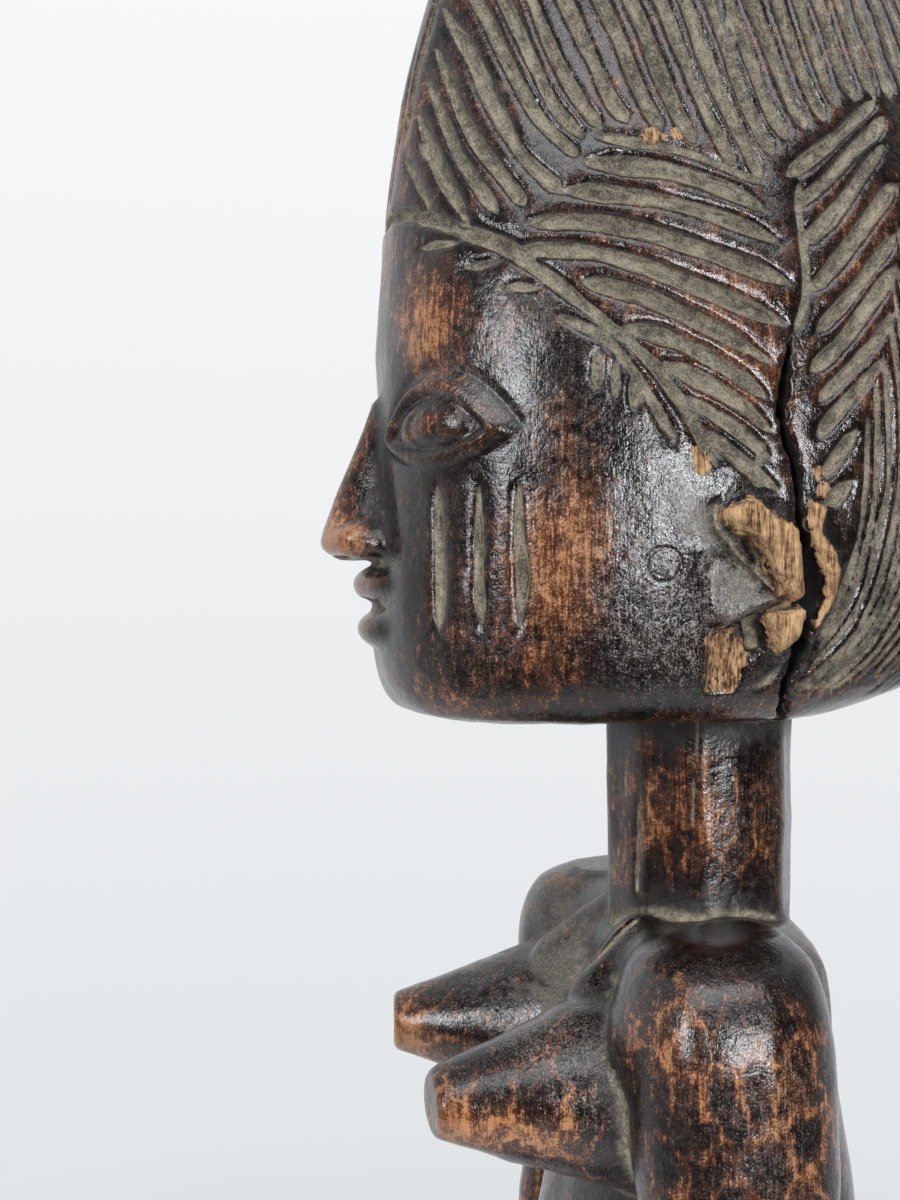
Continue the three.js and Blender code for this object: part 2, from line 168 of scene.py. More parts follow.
def spline(padded, t):
    """Spots t rows along a smooth curve through the rows of a table with a spare row at each end."""
    i = np.minimum(t.astype(int), len(padded) - 4)
    s = (t - i).reshape([-1] + [1] * (padded.ndim - 1))
    a, b, c, d = padded[i], padded[i + 1], padded[i + 2], padded[i + 3]
    return b + 0.5 * s * (c - a + s * (2 * a - 5 * b + 4 * c - d + s * (3 * (b - c) + d - a)))


# Shapes: each returns a function of the grid's x, y and z.
def smooth_rows(rows, z):
    """The columns of a table of sections at heights z, on a smooth curve through its rows."""
    rows = np.array(rows, float)
    curve = spline(np.vstack([rows[0], rows, rows[-1]]), np.linspace(0, len(rows) - 1, 40 * len(rows)))
    return [np.interp(z, curve[:, 0], curve[:, k]).astype(np.float32) for k in range(1, 6)]


def loft(rows):
    def shape(x, y, z):
        centre, front, back, half, square = smooth_rows(rows, z)
        middle, fore = (front + back) / 2, (back - front) / 2
        side = np.abs((x - centre) / half) ** square
        reach = (side + np.abs((y - middle) / fore) ** square) ** (1 / square)
        slope = np.sqrt(sum(g * g for g in np.gradient(reach, VOXEL)))
        body = np.clip((reach - 1) / np.maximum(slope, 0.012), -FAR, FAR)
        return np.maximum(body, np.maximum(rows[0][0] - z, z - rows[-1][0]))

    return shape


def ellipsoid(centre, radii, turn=0.0):
    cos, sin = math.cos(turn), math.sin(turn)

    def shape(x, y, z):
        dx, dy, dz = x - centre[0], y - centre[1], z - centre[2]
        px, py = dx * cos + dy * sin, -dx * sin + dy * cos
        near = np.sqrt((px / radii[0]) ** 2 + (py / radii[1]) ** 2 + (dz / radii[2]) ** 2)
        slope = np.sqrt((px / radii[0] ** 2) ** 2 + (py / radii[1] ** 2) ** 2 + (dz / radii[2] ** 2) ** 2)
        return near * (near - 1) / np.maximum(slope, 1e-6)

    return shape


def rod(a, b, ra, rb, flat=False):
    """A straight bar from a to b. Its ends are round, or flat with slightly rounded edges."""
    a, b = np.array(a, float), np.array(b, float)
    length = np.linalg.norm(b - a)
    d = (b - a) / max(length, 1e-9)

    def shape(x, y, z):
        dx, dy, dz = x - a[0], y - a[1], z - a[2]
        along = dx * d[0] + dy * d[1] + dz * d[2]
        t = np.clip(along, 0, length)
        if flat:
            off = np.sqrt(np.maximum(dx * dx + dy * dy + dz * dz - along * along, 0))
            side = (off - (ra + (rb - ra) * along / length)) * length / math.hypot(length, rb - ra)
            return smooth_max(side, np.maximum(-along, along - length), 0.8)
        off = np.sqrt((dx - t * d[0]) ** 2 + (dy - t * d[1]) ** 2 + (dz - t * d[2]) ** 2)
        return off - (ra + (rb - ra) * t / max(length, 1e-9))

    return shape


def facets(count, radius, centre, seed):
    """An upright prism, cut with a knife: its sides are flat and not quite even."""
    rng = np.random.default_rng(seed)
    turns = (np.arange(count) + rng.uniform(-0.22, 0.22, count)) * 2 * math.pi / count
    reach = radius * (1 + rng.uniform(-0.025, 0.02, count))

    def shape(x, y, z):
        out = None
        for turn, r in zip(turns, reach):
            side = x * math.sin(turn) + (y - centre) * math.cos(turn) - r
            out = side if out is None else smooth_max(out, side, 0.7)
        return out + 0 * z

    return shape


def disc(radius, bottom, top, edge):
    def shape(x, y, z):
        side = np.sqrt(x * x + y * y) - (radius - edge)
        level = np.abs(z - (bottom + top) / 2) - ((top - bottom) / 2 - edge)
        outside = np.sqrt(np.maximum(side, 0) ** 2 + np.maximum(level, 0) ** 2)
        return outside + np.minimum(np.maximum(side, level), 0) - edge

    return shape


def reach_of(rows, margin=3.0):
    rows = np.array(rows, float)
    low = (min(rows[:, 1] - rows[:, 4]) - margin, min(rows[:, 2]) - margin, rows[0, 0] - margin)
    high = (max(rows[:, 1] + rows[:, 4]) + margin, max(rows[:, 3]) + margin, rows[-1, 0] + margin)
    return low, high


def noise(axes, scale, seed, stretch=(1, 1, 1)):
    """Smooth random values from -1 to 1 over the grid, with lumps about one scale across."""
    rng = np.random.default_rng(seed)
    places = [(a - a[0]) / (scale * s) for a, s in zip(axes, stretch)]
    lattice = rng.uniform(-1, 1, [int(p[-1]) + 2 for p in places]).astype(np.float32)
    for k, p in enumerate(places):
        i = p.astype(int)
        t = p - i
        t = (t * t * (3 - 2 * t)).astype(np.float32)
        shape = [1, 1, 1]
        shape[k] = len(p)
        t = t.reshape(shape)
        lattice = np.take(lattice, i, k) * (1 - t) + np.take(lattice, i + 1, k) * t
    return lattice


# The body, before any line is cut. It is made for the left half and mirrored.
# A join is the two corners of the box that a part may fill, and how softly it joins.
NECK_RADIUS = 11.1
NECK_CENTRE = -0.25
NECK_FACETS = 11
NECK_SEED = 4
NECK_ENDS = (138, 168)
NECK_JOIN = ((0, -16, 136), (16, 16, 168), 0.5)
COLLAR = ((6, -8.6, 137.7), (8.4, -14.2, 131.4), 3.4, 5)
COLLAR_JOIN = ((0, -24, 122), (18, 0, 148), 2.2)
SHOULDER = ((8, 0, 134.8), (22, -3, 134.6), 6.2, 6.2)
SHOULDER_JOIN = ((0, -16, 124), (34, 14, 146), 3)
CHEST = ((12, -8, 136), (20, -11.5, 130.5), 4.2, 6)
CHEST_JOIN = ((0, -24, 118), (32, 2, 146), 3)
BREAST = ((11.6, -10, 123.4), (14.6, -35.6, 123.6), 12.8, 3.7)
BREAST_JOIN = ((0, -40, 108), (28, -2, 140), 1)
BASE_JOIN = ((0, -40, BASE_LEVEL - 3), (40, 40, 3), 0.8)
LIMB_BLENDS = ((ARM, 2.4), (LEG, 2.4), (FOOT, 1.6))
NOSE_BLEND = 1.6
GRID_MARGIN = 1.5
GRID_DEPTH = (-48, 40)

# Each rounded part: centre, radii, how far it reaches and how softly it joins.
ROUNDED = {
    "buttock": ((10, 10.8, 66), (12.2, 12.2, 13.5), 16, 2.6),
    "navel": ((0, -20, 95), (2.6, 2.4, 2.6), 6, 0.8),
    "nostril wing": ((4.3, -41.4, 183), (2.5, 3.2, 2.2), 6, 1.2),
    "upper lip": ((0, -37, 178.2), (9, 4.9, 2.9), 13, 0.7),
    "lower lip": ((0, -36.6, 173.1), (8, 4.9, 3), 13, 0.7),
}
EYE = {
    "turn": 23, "z": 194.6, "half_length": 8, "upper": 4.2, "lower": 3.5, "curve": 0.012,
    "upper_lid": 1.2, "lower_lid": 0.95, "lid_width": 0.8, "ball": 1.5, "ball_inset": (2.4, 1.3),
    "iris": 1.9, "iris_depth": 0.3, "iris_line": 0.34, "fold_depth": 0.4, "fold_away": 2.1,
}
EAR = {
    "y": -3.9, "z": 178.8, "half_width": 4.1, "half_height": 7.1, "rim_width": 1.5, "rim_height": 2.2,
    "mouth": 40, "bowl_depth": 0.9, "flap_height": 1.5,
}
FLAP = [(-9.4, 181.4), (-9.4, 174.2), (-0.5, 176.3)]
EYE_BOX = (2, -46, EYE["z"] - 9), (27, -14, EYE["z"] + 9)
EAR_BOX = (16, EAR["y"] - 11, EAR["z"] - 14), (32, EAR["y"] + 13, EAR["z"] + 12)


def smooth_step(value, low, high):
    t = np.clip((value - low) / (high - low), 0, 1)
    return t * t * (3 - 2 * t)


def ridge(distance, half_width):
    return np.exp(-((distance / half_width) ** 2))


def around_head(z):
    """Turns from the face in degrees, and the lengths along the head's skin that they reach."""
    turns = np.linspace(0, 180, 121)
    spots = on_back([(turn, z) for turn in turns], 1)
    steps = np.linalg.norm(np.diff(spots, axis=0), axis=1)
    return turns, np.concatenate([[0], np.cumsum(steps)])


def eye_height(x, y, z):
    """How far the lids and eyeball rise over the face: an almond with a carved rim round a domed ball."""
    turns, lengths = around_head(EYE["z"])
    _, front, back, _, _ = smooth_rows(HEAD, EYE["z"])
    turn = np.degrees(np.arctan2(x, (front + back) / 2 - y))
    u = np.interp(turn, turns, lengths) - np.interp(EYE["turn"], turns, lengths)
    v = z - EYE["z"] + EYE["curve"] * u * u
    length, tall = EYE["half_length"], np.where(v > 0, EYE["upper"], EYE["lower"])
    slope = np.hypot(2 * u / length**2, 1 / tall)
    away = ((u / length) ** 2 + np.abs(v) / tall - 1) / slope
    lids = np.where(v > 0, EYE["upper_lid"], EYE["lower_lid"]) * ridge(away, EYE["lid_width"])
    inset_length, inset_height = EYE["ball_inset"]
    dome = np.clip(1 - (u / (length - inset_length)) ** 2 - (v / (tall - inset_height)) ** 2, 0, 1)
    iris = ridge(np.hypot(u, v) - EYE["iris"], EYE["iris_line"]) * smooth_step(dome, 0, 0.2)
    fold = ridge(away - EYE["fold_away"], 0.5) * smooth_step(v, 0, 1.5)
    return lids + EYE["ball"] * np.sqrt(dome) - EYE["iris_depth"] * iris - EYE["fold_depth"] * fold


def distance_along(line, y, z):
    """How far the spots lie from a line drawn on the side of the head."""
    nearest = np.full(np.broadcast(y, z).shape, np.inf)
    for (ya, za), (yb, zb) in zip(line[:-1], line[1:]):
        dy, dz = yb - ya, zb - za
        t = np.clip(((y - ya) * dy + (z - za) * dz) / (dy * dy + dz * dz), 0, 1)
        nearest = np.minimum(nearest, np.hypot(y - ya - t * dy, z - za - t * dz))
    return nearest


def depth_inside(corners, y, z):
    """How far the spots lie inside an outline drawn on the side of the head, negative outside."""
    closed = [*corners, corners[0]]
    nearest = distance_along(closed, y, z)
    inside = np.zeros(nearest.shape, bool)
    for (ya, za), (yb, zb) in zip(closed[:-1], closed[1:]):
        if zb != za:
            inside ^= ((za > z) != (zb > z)) & (y < ya + (z - za) * (yb - ya) / (zb - za))
    return np.where(inside, nearest, -nearest)


def whole_ear_height(y, z):
    """The right ear: a C-shaped rim open towards the face, with a low flap in its mouth."""
    a, b = (y - EAR["y"]) / EAR["half_width"], (z - EAR["z"]) / EAR["half_height"]
    round_it = np.maximum(np.hypot(a, b), 0.05)
    slope = np.hypot(a / EAR["half_width"], b / EAR["half_height"]) / round_it
    off = np.abs(round_it - 1) / np.maximum(slope, 0.05)
    open_side = np.degrees(np.arctan2(np.abs(b), -a))
    whole = smooth_step(open_side, EAR["mouth"] - 8, EAR["mouth"] + 4)
    rim = EAR["rim_height"] * smooth_step(-off, -EAR["rim_width"], -0.6) * whole
    bowl = -EAR["bowl_depth"] * smooth_step(-round_it, -0.75, -0.3)
    flap = EAR["flap_height"] * smooth_step(depth_inside(FLAP, y, z), -0.2, 0.9)
    return np.maximum(rim, flap) + np.where(flap > 0.05, 0, bowl)


# The left ear is broken. Its outlines are (y, z) on the side of the head.
BROKEN_RIM = [
    (-7.3, 185.4), (-4.8, 186.8), (-3.8, 186.7), (-1.8, 185), (0.6, 183.9), (1.2, 181.5), (1.5, 179.1),
    (1.8, 176.8), (1, 176.3), (-0.9, 176.8), (-1.5, 178.3), (-2.4, 179.4), (-2.8, 181.2), (-4.3, 182.9),
    (-6.8, 183.9),
]
BROKEN_LOBE = [
    (-2.9, 175.1), (-0.8, 175.3), (1.3, 176), (2, 175.6), (2.1, 173.7), (1.1, 172.1), (-0.4, 170.9),
    (-1.5, 171.4), (-2.2, 173.4),
]
CHIP = [
    (-8.3, 172.7), (-6.9, 173.5), (-5.4, 173.5), (-4.5, 172.4), (-3.9, 170.2), (-4.2, 168.5), (-4.8, 167),
    (-7.9, 167),
]
SPLINTER = [
    (1.9, 186.6), (4.2, 186), (3.6, 183.4), (5.1, 181.7), (6, 179.5), (5.9, 177.5), (5.1, 175.8),
    (3.6, 173.4), (3.2, 173.6), (4.3, 176.6), (4.4, 178.9), (3.5, 180.2), (2.7, 182), (2.3, 184),
]
HOLLOW = [
    (1.5, 183), (2.7, 182), (3.5, 180.2), (4.4, 178.9), (4.3, 176.6), (3.2, 173.6), (2, 173.4), (1.9, 177),
]
WEDGE_LOW_EDGE = [(-8.6, 174.3), (-6.8, 173.7), (-0.4, 176.3)]
WEDGE = [(-9.2, 181.3), (-9.4, 177.5), *WEDGE_LOW_EDGE, (-1.4, 177.3), (-5, 180.3)]
PIT = [(-4.6, 182.6), (-4, 182.8), (-2.5, 180.3), (-3, 179.7)]
SOCKET = [(-4.6, 174.9), (-3.1, 175), (-2, 171.3), (-3.9, 171.1)]
EAR_FOLD = [(-7.6, 185.8), (-7.3, 183.8), (-5.1, 181.2), (-2, 178.4), (-0.4, 177.1)]

# Each part of the broken ear: outline, height, start and end of its edge, roughness of its fibres.
RAISED = [
    (BROKEN_RIM, 2.1, (-0.15, 0.45), 0.16),
    (BROKEN_LOBE, 2.3, (-0.15, 0.6), 0.12),
    (SPLINTER, 0.8, (-0.2, 0.4), 0.3),
]
SUNK = [
    (CHIP, 0.75, (-0.1, 0.3), 0.2),
    (HOLLOW, 2.6, (-0.1, 0.9), 0.25),
    (PIT, 2.6, (-0.25, 0.35), 0),
    (SOCKET, 1.5, (-0.2, 0.4), 0),
]

# Small spots of bare wood: y, z and radius.
RAW_SPOTS = [
    (-12.7, 224.4, 1), (-10.3, 224.8, 0.8), (-9.5, 190.9, 1.1), (-9, 189.6, 0.8), (3.3, 189.5, 0.8),
    (3.6, 187.6, 0.9),
]


def broken_ear_height(y, z):
    """The left ear: what is left of its rim and lobe, a low wedge before them, and the hollows between."""
    fibre = 0.5 + 0.5 * np.sin(y * 9 + 1.7 * np.sin(z * 0.9) + 0.8 * np.sin(z * 2.3 + y))

    def most(parts):
        heights = []
        for outline, tall, edge, rough in parts:
            heights.append(tall * smooth_step(depth_inside(outline, y, z), *edge) * (1 - rough * fibre))
        return np.maximum.reduce(heights)

    wedge = 0.5 + 1.1 * np.exp(-distance_along(WEDGE_LOW_EDGE, y, z) / 2.4)
    wedge = wedge * smooth_step(depth_inside(WEDGE, y, z), -0.3, 0.3)
    fold = 0.8 * ridge(distance_along(EAR_FOLD, y, z), 0.55)
    return np.maximum(most(RAISED), wedge) - np.maximum(most(SUNK), fold)


def raise_relief(body, low, high, height):
    cut, x, y, z = body.window(low, high)
    body.values[cut] -= height(x, y, z).astype(np.float32)


def make_body():
    sides = axis(0, BASE_RADIUS + GRID_MARGIN)
    depths = axis(*GRID_DEPTH)
    heights = axis(BASE_LEVEL - GRID_MARGIN, CANON + GRID_MARGIN)
    half = Field([sides, depths, heights])
    for rows in (HEAD, TORSO):
        half.join(loft(rows), *reach_of(rows), 0)
    for bar, join in ((COLLAR, COLLAR_JOIN), (SHOULDER, SHOULDER_JOIN), (CHEST, CHEST_JOIN)):
        half.join(rod(*bar), *join)
    for rows, blend in LIMB_BLENDS:
        half.join(loft(rows), *reach_of(rows), blend)

    def neck(x, y, z):
        faces = facets(NECK_FACETS, NECK_RADIUS, NECK_CENTRE, NECK_SEED)(x, y, z)
        return np.maximum(faces, np.maximum(NECK_ENDS[0] - z, z - NECK_ENDS[1]))

    half.join(neck, *NECK_JOIN)
    half.join(rod(*BREAST, flat=True), *BREAST_JOIN)
    half.join(loft(NOSE), *reach_of(NOSE), NOSE_BLEND)
    for centre, radii, reach, blend in ROUNDED.values():
        low, high = [c - reach for c in centre], [c + reach for c in centre]
        half.join(ellipsoid(centre, radii), low, high, blend)
    raise_relief(half, *EYE_BOX, eye_height)
    half.join(disc(BASE_RADIUS, BASE_LEVEL, 0, BASE_EDGE), *BASE_JOIN)
    both_sides = np.concatenate([-sides[:0:-1], sides])
    body = Field([both_sides, depths, heights], np.concatenate([half.values[:0:-1], half.values]))
    (near, *low), (far, *high) = EAR_BOX
    for side, height in ((1, broken_ear_height), (-1, whole_ear_height)):
        first, last = sorted([side * near, side * far])
        raise_relief(body, (first, *low), (last, *high), lambda x, y, z: height(y, z) + 0 * x)
    return body


# The knife's unevenness. Each layer: height, size of its lumps, seed, and their stretch upwards.
KNIFE_LAYERS = [(0.13, 10, 11, 1.6), (0.07, 3.6, 12, 1.9), (0.05, 1.5, 14, 1.6)]
KNIFE_DEPTH = 0.3
LEAST_DEPTH = 0.1
FACETS = (0.2, 8, 13, 1.7)
FACET_EDGE = 0.45
FLAT_FOOT = 1
FADE_HEIGHT = 4


def hand_cut(body):
    """Slight unevenness all over, never outside the drawn form. The underside stays flat."""
    lumps = KNIFE_DEPTH
    for height, size, seed, longer in KNIFE_LAYERS:
        lumps = lumps + height * noise(body.axes, size, seed, (1, 1, longer))
    height, size, seed, longer = FACETS
    edges = np.abs(noise(body.axes, size, seed, (1, 1, longer))) / FACET_EDGE
    lumps = lumps + height * np.minimum(edges, 1)
    fade = np.clip((body.axes[2] - BASE_LEVEL - FLAT_FOOT) / FADE_HEIGHT, 0, 1)
    body.values += np.maximum(lumps, LEAST_DEPTH) * fade[None, None, :]


# Spots on the skin of the head and the hands
def on_flank(rows, spots, side, most):
    y, z = np.array(spots, float).T
    centre, front, back, half, square = smooth_rows(rows, z)
    fore = np.minimum(np.abs(y - (front + back) / 2) / ((back - front) / 2), most)
    return np.stack([side * (centre + half * (1 - fore**square) ** (1 / square)), y, z], axis=1)


def on_side(spots, side):
    return on_flank(HEAD, spots, side, 0.9999)


def on_hand(spots, side):
    return on_flank(ARM, spots, side, 0.95)


def on_back(spots, side):
    turn, z = np.array(spots, float).T
    turn = np.radians(turn)
    _, front, back, half, square = smooth_rows(HEAD, z)
    across = np.abs(np.sin(turn) / half) ** square
    fore = np.abs(np.cos(turn) / ((back - front) / 2)) ** square
    reach = (across + fore) ** (-1 / square)
    y = (front + back) / 2 - reach * np.cos(turn)
    return np.stack([side * reach * np.sin(turn), y, z], axis=1)


# Carved lines. A zone is filled with lines spaced between its anchor lines, so many gaps to each pair.
# A spot on the side of the head is (y, z). A spot on its back is (degrees round from the face, z).
CREST = [
    [(-35.8, 230.3), (-34.2, 222.8), (-31.8, 216.1)], [(-34, 238.4), (-31, 226.5), (-25.8, 216.7)],
    [(-32.8, 243), (-27.4, 225.9), (-22.6, 218.2)], [(-31.5, 250), (-25.6, 230.5), (-20.5, 222)],
    [(-27.5, 255.5), (-21.2, 232), (-17.9, 225.4)], [(-22, 261.5), (-14.2, 232.5), (-11.6, 225.2)],
    [(-13, 266), (-5.6, 232.5), (-1.5, 219.9)], [(-9, 267), (-3.2, 233), (0.2, 222.9)],
    [(0, 268), (4.6, 235), (6.6, 227.5)], [(8.4, 265.5), (12.5, 237), (13.6, 231.5)],
    [(22, 253), (24.8, 240), (26, 230)], [(29.5, 239), (30.4, 233.5), (31, 230)],
]
CREST_GAPS = (2, 1, 1, 2, 2, 3, 1, 3, 3, 5, 2)
CREST_BORDER = [(-19.6, 224.9), (-14.7, 223.9), (-9.5, 222.8), (-4.3, 220.7), (-1.2, 219.4)]
TEMPLE = [
    [(-20.4, 221.8), (-12.4, 221.2), (-5.3, 218.8), (-1.2, 216.6)],
    [(-22.5, 218.9), (-12.7, 217.4), (-4.5, 215.2), (0.5, 213)],
    [(-26.1, 215.1), (-18.8, 215.2), (-10.9, 212.9), (1, 208.9)],
    [(-28.1, 212.8), (-19, 211.6), (-9.1, 208.2), (0.5, 204.4)],
    [(-21.1, 208.5), (-15.2, 207.4), (-7.2, 203.6), (-1, 200.5)],
    [(-17.3, 204.3), (-11.4, 202.6), (-6.3, 199.9), (-1.9, 196.8)],
    [(-14, 200.4), (-9.4, 199), (-5.3, 196.5), (-1.6, 193.4)],
    [(-11.5, 197.5), (-8.5, 195.5), (-4.8, 193.2), (-1.7, 190.6)],
    [(-9.5, 194), (-6.4, 191.8), (-3.3, 189.3), (-0.6, 187.3)],
]
CHEVRON = [
    [(1.2, 220.5), (7.1, 225), (13.7, 230.9)], [(1.7, 217.2), (8, 222.7), (14.4, 229.2)],
    [(2.5, 213.1), (8.1, 218.8), (14.5, 226.5)], [(3.2, 208.2), (8.1, 213.8), (14.3, 221.3)],
    [(3.3, 204), (8.3, 209), (13.9, 215.4)], [(2.5, 199.6), (6.9, 204.1), (13.4, 211.7)],
    [(3.3, 196.2), (7.9, 201.1), (12.8, 206.6)], [(3, 193.1), (6.6, 196.8), (10.8, 201.6)],
    [(3.4, 188.8), (5.6, 191.2), (7.9, 194)], [(4.1, 185.8), (5.7, 187.4), (7.2, 188.9)],
]
NAPE = [
    [(111, 195.5), (112, 184.6), (110.5, 173), (103, 166.2)],
    [(118.5, 209), (119.5, 188), (119.5, 174), (115, 165.6)],
    [(132, 224), (133, 200), (134, 180), (133, 166.5)],
    [(154, 240), (155, 212), (156, 188), (156, 167)],
    [(177, 246), (177.5, 215), (178, 190), (178, 167)],
]
NAPE_GAPS = (3, 6, 8, 7)
HAIRLINE = [
    (-37.2, 218.5), (-34.1, 216.4), (-31.3, 214.6), (-26.7, 211.6), (-21.2, 206.6), (-15.4, 201.5),
    (-10.5, 195.4), (-7.6, 189.8),
]
FRONT_HAIRLINE = [
    (-17, 217.6), (-13, 218.5), (-7, 219.1), (0, 219.3), (7, 219.1), (13, 218.5), (17, 217.6),
]
PARTING = [(0, 249), (0, 234), (0, 221)]
FRINGE = [[(4.5, 240), (4.3, 230), (4, 221)], [(8, 246), (7.8, 237), (8, 228)]]
LOWER_BORDER = [(-24.1, 205.6), (-21.2, 204.2), (-18.3, 202.4), (-14.6, 197.4), (-11.4, 191.4)]
SHORT_STROKES = [
    [(-37.2, 225.8), (-35.9, 220.9), (-34.4, 216.5)], [(-36, 226.9), (-33.8, 220.7), (-31.1, 215.1)],
    [(-36.6, 214.2), (-34.2, 214.1), (-31.8, 213.8)], [(-32.8, 211.3), (-30.5, 211.2), (-27.7, 211.7)],
    [(-28.7, 208.8), (-26.8, 208.5), (-24.5, 208.3)], [(-19.5, 202.5), (-19.8, 199.6), (-19.7, 197)],
    [(-17.6, 201.2), (-17.9, 198.6), (-17.8, 196)], [(-15.7, 199.6), (-16, 197.3), (-15.9, 195)],
]
SEAM = [(2.6, 221), (2.2, 217.4), (2.5, 213), (2.4, 208), (1.2, 203.4)]
CHEEK_MARKS = [[(y, 188.6), (y + 0.2, 181), (y + 0.4, 172.6)] for y in (-35, -31.2, -27.4)]
SCRATCHES = [
    [(-2.9, 241), (-3.1, 235), (-2.6, 231.4), (-1.2, 228), (-1.2, 224.9)],
    [(-1.9, 193), (-2.6, 191.5), (-3.7, 189.3), (-3.6, 188.3), (-2.6, 187.6)],
]
RING_DENT = {"y": -13, "z": 179.9, "across": 3.5}
STERNUM = [
    (6.8, -9.6, 140), (7.1, -11.8, 137.4), (7.6, -14, 134.9), (8, -16.2, 132.3), (8.2, -17.6, 130.4),
]
NECK_SPLIT = [(11, -4.5, 165), (11, -4.8, 160), (11, -5.3, 155), (11, -5.6, 150)]
NECK_CREASE = [(5.4, -9.9, 157), (5.4, -9.9, 149), (5.5, -9.9, 142)]
CRACK = [
    (0.8, 203.4, 0.25), (0.1, 199.7, 0.6), (-0.5, 196.7, 0.75), (-0.2, 193.4, 0.65), (0.9, 189.6, 0.6),
    (1.2, 186.4, 0.55), (1.8, 182.8, 0.65), (2.2, 179, 0.9), (2.4, 175.4, 0.8), (2.1, 171.2, 0.75),
    (1.1, 167.4, 0.6), (2.2, 163.2, 0.6),
]
FINGERS = [[(y, 64.5), (y, 58.5), (y + 0.6, 52.5)] for y in (-16.4, -12.6, -8.9)]
TOES = [[(x, -21, 3.4), (x, -19.5, 5.6), (x, -17, 6.8), (x, -14, 7.8)] for x in (9.4, 12, 14.6, 17.2)]
NOSTRIL = ((2.6, -43, 180.6), (2.6, -42.4, 182.8), 0.95, 0.5)
MOUTH_LINE = [
    (-7, -39.305, 175.2), (-4, -41.12, 175.5), (0, -42, 175.6), (4, -41.12, 175.5), (7, -39.305, 175.2),
]


def catmull(points, t):
    points = np.array(points, float)
    return spline(np.concatenate([[2 * points[0] - points[1]], points, [2 * points[-1] - points[-2]]]), t)


def fill(anchors, gaps):
    """The anchor lines and evenly spaced lines between them."""
    t = [i + k / count for i, count in enumerate(gaps) for k in range(count)]
    return catmull(anchors, np.array([*t, len(gaps)]))


def densify(line, reach):
    line = np.array(line, float)
    t = np.linspace(0, len(line) - 1, 80)
    curve = catmull(line, t)
    lengths = np.concatenate([[0], np.cumsum(np.linalg.norm(np.diff(curve, axis=0), axis=1))])
    count = max(4, int(lengths[-1] / reach) + 1)
    wanted = np.linspace(0, lengths[-1], count)
    return np.stack([np.interp(wanted, lengths, curve[:, k]) for k in range(curve.shape[1])], axis=1)


class Carver:
    """Gathers cuts into one field, as round channels whose centre runs near the surface."""

    STEP = 1.4
    MARGIN = 1.2
    LEAST_FULLNESS = 0.25
    WIDTH_SPREAD = 0.14
    DEPTH_SPREAD = 0.12

    def __init__(self, body, seed):
        self.body = body
        self.cuts = Field(body.axes)
        self.rng = np.random.default_rng(seed)

    def bar(self, a, b, ra, rb):
        margin = max(ra, rb) + self.MARGIN
        low, high = np.minimum(a, b) - margin, np.maximum(a, b) + margin
        self.cuts.join(rod(a, b, ra, rb), low, high, 0)

    def sway(self, reached, amount, every=5.0):
        """A slowly changing random value along a stroke."""
        knots = np.arange(0, reached[-1] + every, every)
        return np.interp(reached, knots, self.rng.normal(0, amount, len(knots)))

    def channel(self, points, width, depth, taper=(2.4, 2.4), wander=0.12):
        points = self.body.settle(np.asarray(points, float))
        normals = self.body.normals(points)
        across = np.cross(np.gradient(points, axis=0), normals)
        across /= np.maximum(np.linalg.norm(across, axis=1, keepdims=True), 1e-6)
        steps = np.linalg.norm(np.diff(points, axis=0), axis=1)
        reached = np.concatenate([[0], np.cumsum(steps)])
        points = points + across * self.sway(reached, wander)[:, None]
        starting = np.clip(reached / taper[0], 0, 1)
        ending = np.clip((reached[-1] - reached) / taper[1], 0, 1)
        fullness = np.minimum(starting, ending) ** 0.75
        fullness = self.LEAST_FULLNESS + (1 - self.LEAST_FULLNESS) * fullness
        fullness = fullness * (1 + self.sway(reached, 0.13) + self.sway(reached, 0.07, 1.6))
        w, d = width * fullness, depth * fullness
        radius = (w * w / 4 + d * d) / (2 * d)
        centres = points + normals * (radius - d)[:, None]
        for i in range(len(points) - 1):
            self.bar(centres[i], centres[i + 1], radius[i], radius[i + 1])

    def stroke(self, line, place, side, width, depth, taper=(2.4, 2.4), ends=0.8):
        spots = place(densify(line, self.STEP), side)
        trim = self.rng.uniform(-ends, ends, 2)
        first, last = spots[0] - spots[1], spots[-1] - spots[-2]
        spots[0] += first / max(np.linalg.norm(first), 1e-6) * trim[0]
        spots[-1] += last / max(np.linalg.norm(last), 1e-6) * trim[1]
        width *= 1 + self.rng.uniform(-self.WIDTH_SPREAD, self.WIDTH_SPREAD)
        depth *= 1 + self.rng.uniform(-self.DEPTH_SPREAD, self.DEPTH_SPREAD)
        self.channel(spots, width, depth, taper)


# Strokes: lines, place, width, depth, length of the taper at each end, and how far the ends may slip.
SIDE_STROKES = [
    (fill(CREST, CREST_GAPS), on_side, 1.75, 0.8, (7, 1.6), 0.5),
    ([CREST_BORDER], on_side, 1.5, 0.6, (2, 2.4), 0),
    (TEMPLE, on_side, 2.35, 1, (3.6, 4.5), 0.3),
    (CHEVRON, on_side, 1.8, 0.8, (1.6, 2.4), 0.3),
    (fill(NAPE, NAPE_GAPS), on_back, 1, 0.42, (3, 2), 2),
    ([HAIRLINE], on_side, 1.7, 0.75, (2, 2.4), 0),
    (FRINGE, on_back, 1.15, 0.55, (4, 1.6), 0.5),
    ([LOWER_BORDER], on_side, 1.7, 0.55, (2.4, 3), 0),
    (SHORT_STROKES, on_side, 1.15, 0.55, (1.6, 1.6), 0.2),
    ([SEAM], on_side, 0.9, 0.5, (2, 1), 0),
    (CHEEK_MARKS, on_side, 1.35, 0.75, (3.6, 3.6), 0.5),
    (FINGERS, on_hand, 1.2, 0.8, (2.4, 1.6), 0.2),
]
